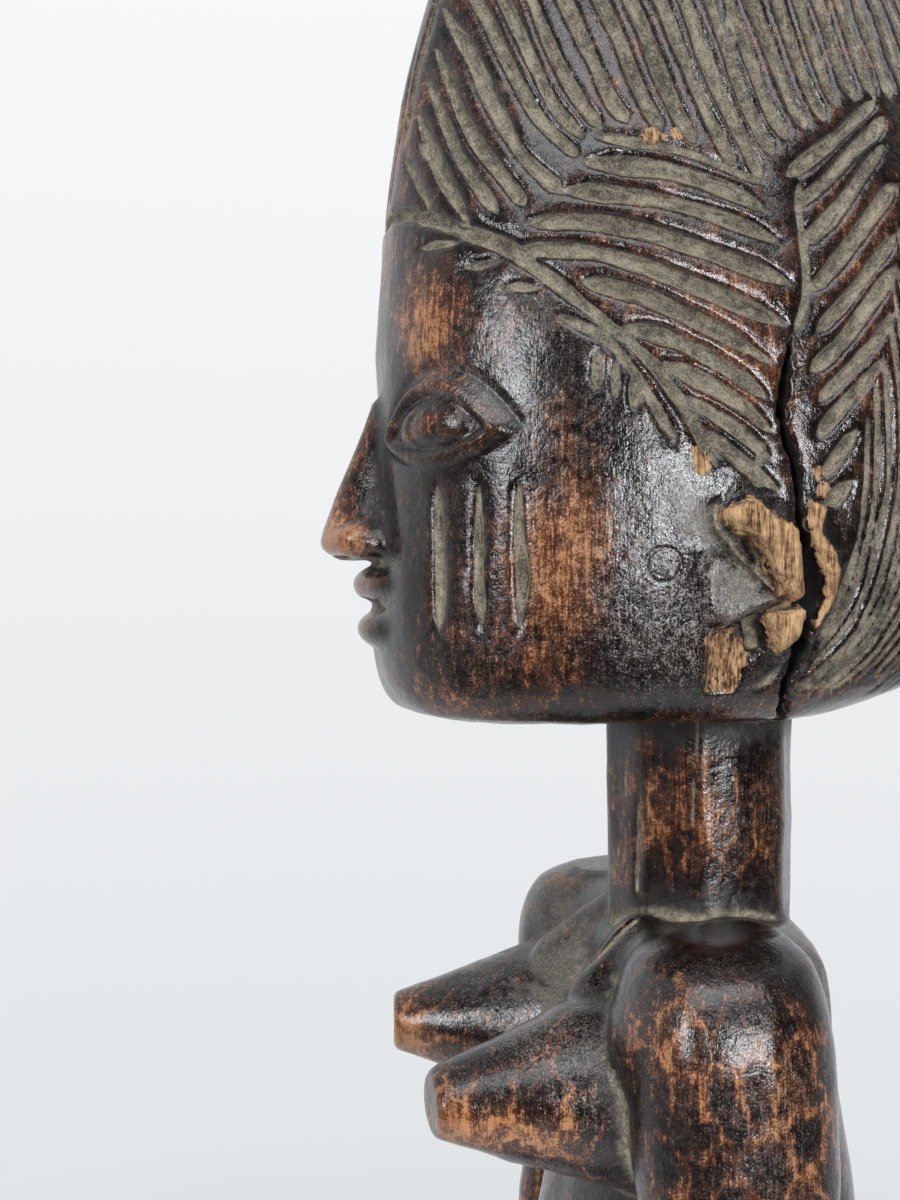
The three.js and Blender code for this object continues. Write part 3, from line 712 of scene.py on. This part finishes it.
MIDDLE_STROKES = [
    ([FRONT_HAIRLINE], on_back, 1.7, 0.75, (2, 2), 0),
    ([PARTING], on_back, 1.3, 0.6, (4, 1.6), 0.5),
]

# Single lines drawn in space: line, width, depth, length of the taper at each end, and wander.
FREE_LINES = [
    (MOUTH_LINE, 0.9, 0.7, (3, 3), 0),
    (STERNUM, 1.2, 0.5, (1, 3), 0.1),
    (NECK_SPLIT, 0.6, 0.42, (0.5, 4), 0.1),
    (NECK_CREASE, 0.8, 0.4, (6, 0.5), 0.1),
]
TOE_GAP = (1.1, 0.75, (0.8, 2))
SCRATCH = (0.55, 0.6, (2, 1.5), 0.15)


def carve_strokes(carver, strokes, side):
    for lines, place, width, depth, taper, ends in strokes:
        for line in lines:
            carver.stroke(line, place, side, width, depth, taper, ends)


def carve_toes_and_nostril(carver, side):
    mirror = (side, 1, 1)
    for toe in TOES:
        carver.channel(np.array(toe) * mirror, *TOE_GAP)
    low, high, wide, narrow = NOSTRIL
    carver.bar(np.array(low) * mirror, np.array(high) * mirror, wide, narrow)


def carve_free_lines(carver):
    for line, width, depth, taper, wander in FREE_LINES:
        carver.channel(densify(line, 1.2), width, depth, taper, wander)


# The crack runs in from the skin in steps and narrows on its way. Its edge is ragged.
CRACK_DEPTHS = np.arange(-1.6, 5.5, 0.6)
CRACK_END = 7
RAGGED = {"wave": 0.22, "waves": 2.9, "rough": 0.12, "stray": 0.16}


def carve_crack(carver):
    spots = densify(CRACK, 0.9)
    wave = RAGGED["wave"] * np.sin(spots[:, 1] * RAGGED["waves"])
    rough = 1 + wave + carver.rng.normal(0, RAGGED["rough"], len(spots))
    spots[:, 0] += carver.rng.normal(0, RAGGED["stray"], len(spots))
    points = on_side(spots[:, :2], 1)
    for depth in CRACK_DEPTHS:
        inner = points - [depth, 0, 0]
        radii = spots[:, 2] * rough * (1 - max(depth, 0) / CRACK_END)
        for i in range(len(inner) - 1):
            carver.bar(inner[i], inner[i + 1], radii[i], radii[i + 1])
    for line in SCRATCHES:
        carver.channel(on_side(densify(line, 0.8), 1), *SCRATCH)


# From field to mesh.
def surface_net(field):
    """Vertices and four-sided faces where the field changes sign, one vertex in each mixed cell."""
    f = field.values
    nx, ny, nz = (n - 1 for n in f.shape)
    inside = f < 0
    count = np.zeros((nx, ny, nz), np.uint8)
    for i, j, k in CORNERS:
        count += inside[i : i + nx, j : j + ny, k : k + nz]
    cells = np.argwhere((count > 0) & (count < 8))
    index = np.full((nx, ny, nz), -1, np.int32)
    index[tuple(cells.T)] = np.arange(len(cells))
    corner = {c: f[tuple((cells + c).T)] for c in CORNERS}
    total = np.zeros((len(cells), 3), np.float32)
    crossings = np.zeros(len(cells), np.float32)
    for start in CORNERS:
        for k in range(3):
            if start[k]:
                continue
            end = tuple(1 if n == k else s for n, s in enumerate(start))
            a, b = corner[start], corner[end]
            mixed = (a < 0) != (b < 0)
            t = np.where(mixed, a / np.where(mixed, a - b, 1), 0)
            spot = np.array(start, np.float32) + np.outer(t, np.eye(3, dtype=np.float32)[k])
            total += spot * mixed[:, None]
            crossings += mixed
    points = cells + total / crossings[:, None]
    origin = np.array([a[0] for a in field.axes])
    faces = []
    for k in range(3):
        u, v = (k + 1) % 3, (k + 2) % 3
        ahead = [slice(None)] * 3
        behind = [slice(None)] * 3
        ahead[k], behind[k] = slice(1, None), slice(None, -1)
        change = inside[tuple(ahead)] != inside[tuple(behind)]
        edges = np.argwhere(change)
        edges = edges[(edges[:, u] > 0) & (edges[:, v] > 0)]
        leaves = inside[tuple(edges.T)]
        quad = []
        for du, dv in ((1, 1), (0, 1), (0, 0), (1, 0)):
            cell = edges.copy()
            cell[:, u] -= du
            cell[:, v] -= dv
            quad.append(index[tuple(cell.T)])
        quad = np.stack(quad, axis=1)
        quad[~leaves] = quad[~leaves][:, ::-1]
        faces.append(quad)
    return points * VOXEL + origin, np.concatenate(faces)


def largest_island(points, faces):
    """Only the biggest connected part of a mesh."""
    label = np.arange(len(points))
    pairs = np.concatenate([faces[:, [k, (k + 1) % faces.shape[1]]] for k in range(faces.shape[1])])
    while True:
        least = np.minimum(label[pairs[:, 0]], label[pairs[:, 1]])
        new = label.copy()
        np.minimum.at(new, pairs[:, 0], least)
        np.minimum.at(new, pairs[:, 1], least)
        new = new[new]
        if np.array_equal(new, label):
            break
        label = new
    names, sizes = np.unique(label, return_counts=True)
    keep = label == names[np.argmax(sizes)]
    number = np.cumsum(keep) - 1
    return points[keep], number[faces[keep[faces[:, 0]]]]


def to_object(name, points, faces):
    mesh = bpy.data.meshes.new(name)
    mesh.vertices.add(len(points))
    mesh.vertices.foreach_set("co", points.astype(np.float32).ravel())
    sides = faces.shape[1]
    mesh.loops.add(faces.size)
    mesh.loops.foreach_set("vertex_index", faces.astype(np.int32).ravel())
    mesh.polygons.add(len(faces))
    mesh.polygons.foreach_set("loop_start", np.arange(0, faces.size, sides, dtype=np.int32))
    mesh.update(calc_edges=True)
    piece = bpy.data.objects.new(name, mesh)
    bpy.context.scene.collection.objects.link(piece)
    return piece


def half_grid(field):
    """How much of each double-sized cell is wood, on a grid of half as many points each way."""
    share = np.clip(0.5 - field.values / (2 * VOXEL), 0, 1)
    sizes = [n // 2 * 2 for n in share.shape]
    share = share[: sizes[0], : sizes[1], : sizes[2]]
    share = share.reshape(sizes[0] // 2, 2, sizes[1] // 2, 2, sizes[2] // 2, 2).mean(axis=(1, 3, 5))
    axes = [(a[: n : 2] + a[1 : n : 2]) / 2 for a, n in zip(field.axes, sizes)]
    return Field(axes, share.astype(np.float32), 2 * VOXEL)


def box_blur(values, reach, times=2):
    """A running mean over 2 * reach + 1 grid points each way, by running sums."""
    width = 2 * reach + 1
    for _ in range(times):
        for k in range(3):
            values = np.moveaxis(values, k, 0)
            padded = np.concatenate([values[:1]] * (reach + 1) + [values] + [values[-1:]] * reach)
            total = np.cumsum(padded, axis=0, dtype=np.float64)
            values = (total[width:] - total[:-width]) / width
            values = values.astype(np.float32)
            values = np.moveaxis(values, 0, k)
    return values


def mark(mesh, name, values):
    layer = mesh.attributes.new(name, "FLOAT", "POINT")
    layer.data.foreach_set("value", np.asarray(values, np.float32))


# Where hands have worn the dark patina through to brown: place, radius and strength.
WORN = [
    (0, -38, 228, 7, 0.8), (0, -38, 216, 6, 0.7), (11, -36, 207, 6, 0.75), (14, -33, 203, 5, 0.6),
    (17, -31, 213, 5, -0.3), (24, -8, 199, 6, 0.35), (24, 9, 201, 8, 0.3), (25, -23, 181, 6.6, 1.2),
    (25, -23.5, 191, 4.5, 0.5), (25, -24, 171.5, 5.5, 0.8), (25, -30, 182, 4, 0.4),
    (22, -20, 162.5, 6, -0.8), (25, -18, 167, 4, 0.3), (24, -12, 171, 7, -0.35), (24, -34, 168, 6, -0.4),
    (25, -12, 182, 8, -0.2), (0, -45, 182, 6, 0.7), (0, -42, 175, 5, 0.6), (12, -37, 167, 7, 0.1),
    (24, -5, 208, 6, 0.5), (24, -3, 199, 5, 0.4), (24, -18, 207, 5, 0.4), (22, 10, 215, 7, 0.35),
    (20, 6, 238, 8, 0.35), (9, -8, 153, 9, 0.6), (11, 2, 146, 5, 0.2), (19, -33, 122.5, 3.4, 0.6),
    (14, -36.5, 124, 3, -0.5), (20.5, -28, 122, 3.6, 0.75), (21.8, -22.5, 121.5, 3.6, 0.55),
    (15, -30, 129, 6, -0.6), (16, -18, 134, 6, -0.4), (14, -26, 113, 6, -0.6), (-10, -35, 122, 5, 0.45),
    (-10, -28, 119, 5, 0.5), (-10, -28, 129, 6, -0.5), (31, -7, 130, 8, 0.5), (32, -2, 114, 9, 0.3),
    (30, -12, 124, 6, -0.35), (18, -6, 141, 6, -0.5), (14, -10, 138, 5, -0.3), (26, -8, 141, 7, -0.7),
    (27, 0, 140, 6, -0.4), (-25, -20, 176, 12, 0.5), (-24, 12, 200, 14, 0.45), (0, 38, 205, 14, 0.45),
    (0, 36, 180, 10, 0.4), (-12, -36, 205, 9, 0.6), (0, -20, 98, 10, 0.6), (0, 22, 66, 14, 0.6),
    (26, -12, 60, 8, 0.6), (-26, -12, 60, 8, 0.6), (14, -16, 34, 9, 0.6), (-14, -16, 34, 9, 0.6),
    (-30, -6, 100, 12, 0.5), (0, 0, 270, 12, 0.6), (0, 16, 130, 12, 0.45), (0, -34, -8, 14, 0.5),
    (30, 0, -8, 14, 0.5),
]

# Where dust has settled in the creases
DUSTY = [
    (4, -13, 136, 7, 0.9), (1, -17, 126, 6, 0.7), (-4, -16, 133, 7, 0.9), (22, -14, 124, 7, 0.8),
    (20, -14, 115, 8, 0.8), (7, -12, 138, 5, 0.6), (18, -13, 133, 5, 0.5), (-22, -14, 122, 9, 0.6),
    (0, 0, 141, 12, 0.6), (8, -38, 179.5, 5, 0.25), (0, 0, 2, 26, 0.4), (14, -12, 8, 8, 0.3),
    (-14, -12, 8, 8, 0.3),
]

# Where dust lies like a thin veil on open wood
VEILED = [
    (25.5, -5.5, 177, 3.4, 1.0), (25, -8.5, 184, 4, 0.6), (-13, -15, 134, 9, 0.8), (-3, -15, 131, 6, 0.9),
    (21, -13, 116, 5, 0.3), (0, 0, 3, 22, 0.4),
]

# Painted sheen: where a grey speckle over the dark patina stands in for the reflection of the windows
PAINTED_SHEEN_PLACES = [
    (25, -14, 181, 10, 0.9), (25, -12, 173.5, 8, 2.3), (22, -20, 162.5, 7, -1.2), (22, -31, 199, 6, 0.9),
    (25, -22, 203, 8, 0.5), (31, -4, 130, 9, 0.7), (16, -22, 128, 8, 1.1), (11, 4, 152, 7, 0.5),
    (9, -8, 153, 9, -0.5), (-10, -24, 129, 7, 0.7), (-14, -12, 137, 8, 0.6), (0, -20, 105, 12, 0.4),
    (-25, -8, 185, 14, 0.6), (0, 36, 200, 16, 0.4), (-30, 0, 125, 10, 0.5),
]


# Colours of the wood and of what lies on it. A pair runs from dark to light.
def srgb(red, green, blue):
    share = [c / 255 for c in (red, green, blue)]
    return [((c + 0.055) / 1.055) ** 2.4 if c > 0.04 else c / 12.92 for c in share] + [1]


BLACK = srgb(15, 11, 10), srgb(38, 26, 21)
BROWN = srgb(86, 49, 30)
BRIGHT_BROWN = srgb(188, 130, 84)
REDDISH = srgb(38, 23, 18), srgb(92, 54, 34)
# The grey of the painted sheen
PAINTED_SHEEN_GREY = srgb(136, 129, 124)
POWDER = srgb(94, 89, 82), srgb(146, 139, 126)
SETTLED = srgb(108, 99, 84), srgb(200, 189, 162)
DUST = srgb(62, 56, 47), srgb(158, 148, 127)
# Painted shade along the edges of the cuts
GROOVE_EDGE_SHADE = srgb(62, 55, 46)
DUST_SPECKS = srgb(190, 183, 160)
BARE = srgb(120, 84, 54), srgb(206, 168, 122)
BARE_GRAIN = srgb(52, 36, 26)
# Painted shade inside the crack and the ear's hollows
PAINTED_RECESS_SHADE = srgb(18, 14, 12)
RING_LINE = srgb(40, 33, 30)


class Nodes:
    """Short names for the shader nodes in use. A value is a number or another node's output."""

    def __init__(self, owner):
        owner.use_nodes = True
        self.tree = owner.node_tree
        self.shader = self.tree.nodes.get("Principled BSDF")

    def node(self, kind, **settings):
        made = self.tree.nodes.new(kind)
        for name, value in settings.items():
            setattr(made, name, value)
        return made

    def plug(self, value, socket):
        if isinstance(value, bpy.types.NodeSocket):
            self.tree.links.new(value, socket)
        else:
            socket.default_value = value

    def fill(self, made, values):
        """Plugs each value into the node's input of that name."""
        for name, value in values.items():
            self.plug(value, made.inputs[name])

    def math(self, operation, *values):
        made = self.node("ShaderNodeMath", operation=operation)
        for value, socket in zip(values, made.inputs):
            self.plug(value, socket)
        return made.outputs[0]

    def total(self, *terms):
        """The sum of the terms. A pair is a value and its weight."""
        result = None
        for term in terms:
            value = self.times(*term) if isinstance(term, tuple) else term
            result = value if result is None else self.math("ADD", result, value)
        return result

    def times(self, a, b):
        return self.math("MULTIPLY", a, b)

    def highest(self, first, *others):
        for other in others:
            first = self.math("MAXIMUM", first, other)
        return first

    def step(self, value, low, high, under=0.0, over=1.0, ease="SMOOTHSTEP"):
        """Goes from under to over while the value goes from low to high."""
        made = self.node("ShaderNodeMapRange", interpolation_type=ease)
        for socket, number in zip(made.inputs, (value, low, high, under, over)):
            self.plug(number, socket)
        return made.outputs["Result"]

    def mix(self, share, a, b):
        made = self.node("ShaderNodeMix", data_type="RGBA")
        self.plug(share, made.inputs["Factor"])
        self.plug(a, made.inputs[6])
        self.plug(b, made.inputs[7])
        return made.outputs[2]

    def blend(self, share, a, b):
        """One shader fading into another."""
        made = self.node("ShaderNodeMixShader")
        for value, socket in zip((share, a, b), made.inputs):
            self.plug(value, socket)
        return made.outputs["Shader"]

    def split(self, vector):
        made = self.node("ShaderNodeSeparateXYZ")
        self.plug(vector, made.inputs["Vector"])
        return made.outputs

    def mark(self, name):
        return self.node("ShaderNodeAttribute", attribute_name=name).outputs["Fac"]

    def place(self, stretch):
        """The place on the figure in millimetres, divided by the size of the pattern each way."""
        where = self.node("ShaderNodeTexCoord").outputs["Object"]
        made = self.node("ShaderNodeMapping")
        self.fill(made, {"Vector": where, "Scale": [MM / s for s in stretch]})
        return made.outputs["Vector"]

    def noise(self, size, detail=3.0, roughness=0.55, warp=0.0, shift=0.0):
        """Lumps of the given size in millimetres, with values round 0."""
        stretch = size if isinstance(size, tuple) else (size, size, size)
        made = self.node("ShaderNodeTexNoise", noise_dimensions="4D")
        self.fill(made, {"Vector": self.place(stretch), "W": shift, "Scale": 1})
        self.fill(made, {"Detail": detail, "Roughness": roughness, "Distortion": warp})
        return self.math("SUBTRACT", made.outputs["Fac"], 0.5)

    def ring(self, dent, width):
        """1 on a thin circle pressed into the left side of the head."""
        x, y, z = self.split(self.place((1, 1, 1)))
        centre = [dent["y"] * UNIT * MM, dent["z"] * UNIT * MM + BASE_THICKNESS * MM]
        away = [self.math("SUBTRACT", a, c) for a, c in zip((y, z), centre)]
        reach = self.math("SQRT", self.total(*(self.times(a, a) for a in away)))
        off = self.math("ABSOLUTE", self.math("SUBTRACT", reach, dent["across"] / 2))
        on_left = self.step(x, 15, 16)
        return self.times(self.step(off, width, 0.0), on_left)

    def veins(self, size):
        """Near 1 on a net of thin lines and near 0 inside its cells."""
        wave = self.node("ShaderNodeTexNoise")
        self.fill(wave, {"Vector": self.place((size, size, size)), "Scale": 1.3})
        bent = self.node("ShaderNodeVectorMath", operation="MULTIPLY_ADD")
        sway = (0.9, 0.9, 0.9)
        cell = self.place((size, size, 1.5 * size))
        for value, socket in zip((wave.outputs["Color"], sway, cell), bent.inputs):
            self.plug(value, socket)
        cells = self.node("ShaderNodeTexVoronoi", feature="DISTANCE_TO_EDGE")
        self.fill(cells, {"Vector": bent.outputs["Vector"], "Scale": 1})
        return self.step(cells.outputs["Distance"], 0.14, 0.0)

    def above(self, low, high, under, over):
        """A value that changes from one number to another between two heights in metres."""
        z = self.split(self.node("ShaderNodeTexCoord").outputs["Object"])["Z"]
        return self.step(z, low, high, under, over, "LINEAR")


def make_wood():
    wood = bpy.data.materials.new("wood")
    n = Nodes(wood)
    cut, fold, hollow = n.mark("cut"), n.mark("fold"), n.mark("hollow")
    worn, raw, shaded_recess = n.mark("worn"), n.mark("raw"), n.mark("shaded_recess")
    dusty, veiled, painted_sheen = n.mark("dusty"), n.mark("veiled"), n.mark("painted_sheen")
    clouds = n.noise(16, 2, 0.5, 0.4, 1)
    mottle = n.noise(4.2, 6, 0.66, 0.9, 2)
    crumbs = n.noise(0.9, 4, 0.6, 0.3, 3)
    streaks = n.noise((0.7, 0.7, 9), 4, 0.62, 0.15, 4)
    hairs = n.noise((0.22, 0.22, 2.6), 3, 0.6, 0, 5)
    specks = n.noise(0.34, 2, 0.6, 0, 6)
    grit = n.noise(0.2, 1, 0.6, 0, 7)
    on_shoulders = n.math("MINIMUM", n.above(0.1, 0.135, 0.25, 0.65), n.above(0.15, 0.18, 0.65, 0.25))
    veins = n.times(n.veins(4.5), on_shoulders)
    ribs = n.noise(3, 2, 0.6, 0.35, n.times(cut, 4.5))

    # Patina, its dust veil and a painted sheen on it
    dark = n.mix(n.step(n.total(mottle, crumbs), -0.2, 0.3), *BLACK)
    fibres = n.total((crumbs, 1.5), (streaks, 1.1), (hairs, 1.4), (grit, 1.5))
    uneven = n.total((clouds, 1.3), (mottle, 1.7), streaks, (fibres, 0.45))
    rubbed = n.total(worn, uneven, (hollow, -4.0), veins, -0.72)
    colour = n.mix(n.step(rubbed, -0.5, 0.5), dark, BROWN)
    colour = n.mix(n.step(n.total(rubbed, fibres), 0.05, 1.25), colour, BRIGHT_BROWN)
    reddish = n.mix(n.step(n.total(mottle, grit), -0.1, 0.3), *REDDISH)
    edge = n.step(n.total((fold, -1), (crumbs, 0.12), (mottle, 0.25)), 0.035, 0.11)
    colour = n.mix(n.times(edge, 0.3), colour, reddish)
    # Painted sheen: light grey speckle mixed into the patina's colour stands in for the windows'
    # reflection.
    painted_sheen_speckle = n.step(n.total(grit, (hairs, 0.7), (crumbs, 0.5), (clouds, 0.6)), 0.0, 0.3)
    colour = n.mix(n.times(painted_sheen_speckle, n.total(0.13, (painted_sheen, 0.5))), colour, PAINTED_SHEEN_GREY)
    veil = n.step(n.total(veiled, (mottle, 1.9), (crumbs, 0.9), (grit, 0.2)), 0.25, 1.1)
    powder = n.mix(n.step(grit, -0.2, 0.2), *POWDER)
    colour = n.mix(n.times(veil, 0.8), colour, powder)

    # Dust in the cuts and creases, with painted shade along the cuts' edges
    settled = n.step(n.total(crumbs, (grit, 0.8)), -0.25, 0.3)
    settled = n.mix(settled, *SETTLED)
    lines = n.total((ribs, 1.1), (mottle, 0.8), (grit, 1.1), (crumbs, 0.8))
    dust = n.mix(n.step(lines, -0.4, 0.46), *DUST)
    bed = n.total(cut, (crumbs, 0.14), (hairs, 0.12))
    sunk = n.step(n.total(fold, (crumbs, 0.05)), -0.05, 0.03)
    in_cut = n.times(n.step(bed, 0.14, 0.3), sunk)
    # Painted shade: the shallow edges of each cut are darkened.
    rim = n.step(n.total(bed, (mottle, 0.3), (crumbs, 0.2)), 0.36, 0.14)
    dust = n.mix(n.times(rim, 0.65), dust, GROOVE_EDGE_SHADE)
    dust = n.mix(n.times(n.step(specks, 0.1, 0.22), 0.4), dust, DUST_SPECKS)
    dust = n.mix(n.step(dusty, 0.35, 0.8), dust, settled)
    colour = n.mix(n.times(in_cut, 0.94), colour, dust)
    crease = n.total(fold, (hollow, 0.4), (dusty, 0.1), (crumbs, 0.1), (mottle, 0.16))
    crease = n.times(n.step(crease, 0.13, 0.33), n.step(cut, 0.3, 0.0))
    colour = n.mix(n.times(crease, 0.8), colour, settled)

    # Bare wood where the ear has broken, with painted shade in its hollows, and painted shade inside the
    # crack, the ear's hollow and its pit
    # Grain of the bare wood with painted shade: it is darker where the surface is hollow (fold) and lighter
    # on its ridges.
    grain_and_hollow_shade = n.total(hairs, (streaks, 0.9), (crumbs, 0.7), (fold, -0.5))
    blond = n.mix(n.step(grain_and_hollow_shade, -0.12, 0.28), *BARE)
    blond = n.mix(n.step(n.total(grain_and_hollow_shade, (mottle, 0.7)), -0.06, -0.2), blond, BARE_GRAIN)
    bare = n.step(n.total(raw, (crumbs, 1.6), (mottle, 0.8)), -0.12, 0.05)
    colour = n.mix(bare, colour, blond)
    # Painted shade: the deepest cuts, the crack, the ear's hollow and its pit are darkened to near black.
    in_crack = n.step(n.total(cut, (crumbs, 0.4)), 0.95, 1.5)
    painted_recess_shade = n.highest(in_crack, n.step(n.total(shaded_recess, (crumbs, 0.6)), -0.05, 0.4))
    colour = n.mix(painted_recess_shade, colour, PAINTED_RECESS_SHADE)
    ring = n.ring(RING_DENT, 0.42)
    colour = n.mix(n.times(ring, 0.5), colour, RING_LINE)

    # Gloss: dust and bare wood are matt, and hollows that hands don't reach are less polished.
    matt = n.highest(in_cut, crease, bare, painted_recess_shade, n.times(veil, 0.8))
    unpolished = n.times(n.highest(hollow, 0), 3)
    gloss = n.total(0.18, (mottle, 0.45), (clouds, 0.15), (crumbs, 0.45), unpolished)
    rough = n.node("ShaderNodeMix", data_type="FLOAT")
    for value, socket in zip((matt, gloss, 0.85), (rough.inputs[0], rough.inputs[2], rough.inputs[3])):
        n.plug(value, socket)
    coat = n.times(n.math("SUBTRACT", 1, matt), 0.25)

    # Fine relief
    torn = n.times(bare, n.total(hairs, streaks))
    height = n.total(
        (specks, 0.45), (n.times(in_cut, ribs), 1.5), (grit, 0.25), (hairs, 0.4),
        (crumbs, 1.8), (mottle, 3), (ring, -0.9), (torn, 5.0),
    )
    bump = n.node("ShaderNodeBump")
    n.fill(bump, {"Strength": 0.6, "Distance": 0.00008, "Height": height})
    relief = bump.outputs["Normal"]
    n.fill(n.shader, {"Base Color": colour, "Roughness": rough.outputs[0], "Specular IOR Level": 0.5})
    n.fill(n.shader, {"Coat Weight": coat, "Coat Roughness": 0.14, "Normal": relief, "Coat Normal": relief})
    return wood


# Stage: a pale floor that fades out into a pale wall
FLOOR_REACH = 3
PAPER_EDGE = (0.12, 0.36)
PAPER = (0.88, 0.89, 0.9, 1)
WALL = srgb(247, 248, 249), srgb(226, 229, 232)
WALL_SHADE = (0.4, -0.4)
SKY = (0.93, 0.96, 1, 1)
SKY_SIDES = (-0.5, 0.6, 0.8, 0.05)
LAMP_COLOUR = (0.95, 0.97, 1)

# Each lamp: name, direction from the head, distance, size and power.
LAMPS = [
    ("window_behind_camera", (0.95, 0.19, 0.08), 1.1, (0.17, 0.34), 6.4),
    ("window_front_left", (0.68, -0.68, 0.25), 1.2, (0.16, 0.45), 6.4),
]
for name, y in (("skylight_front", -0.3), ("skylight_middle", -0.02), ("skylight_back", 0.26)):
    LAMPS.append((name, (0.62, y, 0.78), 1.1, (0.16, 0.6), 2))


def make_floor():
    corners = FLOOR_REACH * np.array([(-1, -1, 0), (1, -1, 0), (1, 1, 0), (-1, 1, 0)])
    floor = to_object("floor", corners, np.array([[0, 1, 2, 3]]))
    paper = bpy.data.materials.new("paper")
    n = Nodes(paper)
    n.fill(n.shader, {"Base Color": PAPER, "Roughness": 0.9, "Specular IOR Level": 0.1})
    length = n.node("ShaderNodeVectorMath", operation="LENGTH")
    n.plug(n.node("ShaderNodeTexCoord").outputs["Object"], length.inputs[0])
    clear = n.node("ShaderNodeBsdfTransparent").outputs["BSDF"]
    faded = n.blend(n.step(length.outputs["Value"], *PAPER_EDGE), n.shader.outputs["BSDF"], clear)
    n.plug(faded, n.tree.nodes["Material Output"].inputs["Surface"])
    floor.data.materials.append(paper)


def make_world():
    """The camera sees a pale wall with painted shade, a little darker towards the bottom. The figure is lit
    by a sky that is brighter on its right.
    """
    world = bpy.data.worlds.new("world")
    bpy.context.scene.world = world
    n = Nodes(world)
    seen = n.tree.nodes["Background"]
    lit = n.node("ShaderNodeBackground")
    x, y, z = n.split(n.node("ShaderNodeTexCoord").outputs["Generated"])
    n.fill(lit, {"Color": SKY, "Strength": n.step(x, *SKY_SIDES)})
    n.plug(n.mix(n.step(z, *WALL_SHADE, ease="LINEAR"), *WALL), seen.inputs["Color"])
    by_camera = n.node("ShaderNodeLightPath").outputs["Is Camera Ray"]
    either = n.blend(by_camera, lit.outputs["Background"], seen.outputs["Background"])
    n.plug(either, n.tree.nodes["World Output"].inputs["Surface"])


def place_towards(holder, target, way, distance):
    """Puts a lamp or camera at a distance from the target, looking at it."""
    holder.location = target + way * distance
    holder.rotation_mode = "QUATERNION"
    holder.rotation_quaternion = (-way).to_track_quat("-Z", "Y")
    bpy.context.scene.collection.objects.link(holder)


def make_lamps(target):
    for name, way, distance, size, power in LAMPS:
        light = bpy.data.lights.new(name, "AREA")
        light.shape = "RECTANGLE"
        light.size, light.size_y = size
        light.energy = power
        light.color = LAMP_COLOUR
        holder = bpy.data.objects.new(name, light)
        holder.visible_camera = False
        place_towards(holder, target, Vector(way).normalized(), distance)


# The camera looks level at a spot (y, z in canon units), this many degrees round from the front.
CAMERA_TURN = 80
CAMERA_DISTANCE = 157.5
CAMERA_TARGET = (-30.5, 176.4)
LENS = 40.8
SENSOR = 36

# The broken side starts at this x. In cuts that reach this depth, the painted shade of the crack spreads so
# far from its line.
LEFT_SIDE = 15
CRACK_FLOOR = 0.3
CRACK_REACH = 1.4
NOWHERE = -3.0


# Make the piece
body = make_body()
hand_cut(body)
carver = Carver(body, CARVER_SEED)
for side in (1, -1):
    carve_strokes(carver, SIDE_STROKES, side)
    carve_toes_and_nostril(carver, side)
carve_strokes(carver, MIDDLE_STROKES, 1)
carve_free_lines(carver)
carve_crack(carver)
cut = Field(body.axes, smooth_max(body.values, -carver.cuts.values, SOFT_EDGE))
points, faces = largest_island(*surface_net(cut))
figure = to_object("figure_carving", points * UNIT + [0, 0, BASE_THICKNESS], faces)
triangles = 2 * len(faces)
if triangles > MOST_TRIANGLES:
    squeeze = figure.modifiers.new("fewer", "DECIMATE")
    squeeze.ratio = MOST_TRIANGLES / triangles
    thinner = bpy.data.meshes.new_from_object(figure.evaluated_get(bpy.context.evaluated_depsgraph_get()))
    figure.modifiers.clear()
    figure.data = thinner
mesh = figure.data
mesh.polygons.foreach_set("use_smooth", np.ones(len(mesh.polygons), bool))

# What the finish goes by, at each vertex
spots = np.empty(3 * len(mesh.vertices), np.float32)
mesh.vertices.foreach_get("co", spots)
spots = (spots.reshape(-1, 3) - np.float32([0, 0, BASE_THICKNESS])) / np.float32(UNIT)
x, y, z = spots.T
wood_share = half_grid(cut)
for name, reach in (("fold", 1), ("hollow", 4)):
    smoothed = Field(wood_share.axes, box_blur(wood_share.values, reach), wood_share.step)
    mark(mesh, name, smoothed.at(spots) - 0.5)
depth = -body.at(spots)
mark(mesh, "cut", depth)
raw = [depth_inside(outline, y, z) for outline in (BROKEN_RIM, BROKEN_LOBE, CHIP, SPLINTER)]
raw += [radius - np.hypot(y - spot_y, z - spot_z) for spot_y, spot_z, radius in RAW_SPOTS]
# Where the painted shade of the crack and of the ear's hollow and pit falls
crack_line = [(crack_y, crack_z) for crack_y, crack_z, half_width in CRACK]
in_crack = np.where(depth > CRACK_FLOOR, CRACK_REACH - distance_along(crack_line, y, z), NOWHERE)
shaded_recess = [depth_inside(HOLLOW, y, z), depth_inside(PIT, y, z), in_crack]
for name, depths in (("raw", raw), ("shaded_recess", shaded_recess)):
    mark(mesh, name, np.where(x > LEFT_SIDE, np.maximum.reduce(depths), NOWHERE))
for name, places in (("worn", WORN), ("dusty", DUSTY), ("veiled", VEILED), ("painted_sheen", PAINTED_SHEEN_PLACES)):
    share = np.zeros(len(spots))
    for *place, radius, strength in places:
        away = np.linalg.norm(spots - place, axis=1)
        share += strength * np.exp(-((away / radius) ** 2))
    mark(mesh, name, share)

mesh.normals_split_custom_set_from_vertices(cut.normals(spots))

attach(figure, "root")
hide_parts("figure")
mesh.materials.clear()
mesh.materials.append(make_wood())

# Camera
azimuth = math.radians(CAMERA_TURN)
target = Vector((0, CAMERA_TARGET[0] * UNIT, CAMERA_TARGET[1] * UNIT + BASE_THICKNESS))
camera = bpy.data.objects.new("camera", bpy.data.cameras.new("camera"))
camera.data.lens = LENS
camera.data.sensor_width = SENSOR
camera.data.clip_start = 0.01
place_towards(camera, target, Vector((math.sin(azimuth), -math.cos(azimuth), 0)), CAMERA_DISTANCE * UNIT)
bpy.context.scene.camera = camera
bpy.context.scene.view_settings.view_transform = "Standard"

make_floor()
make_world()
make_lamps(target)
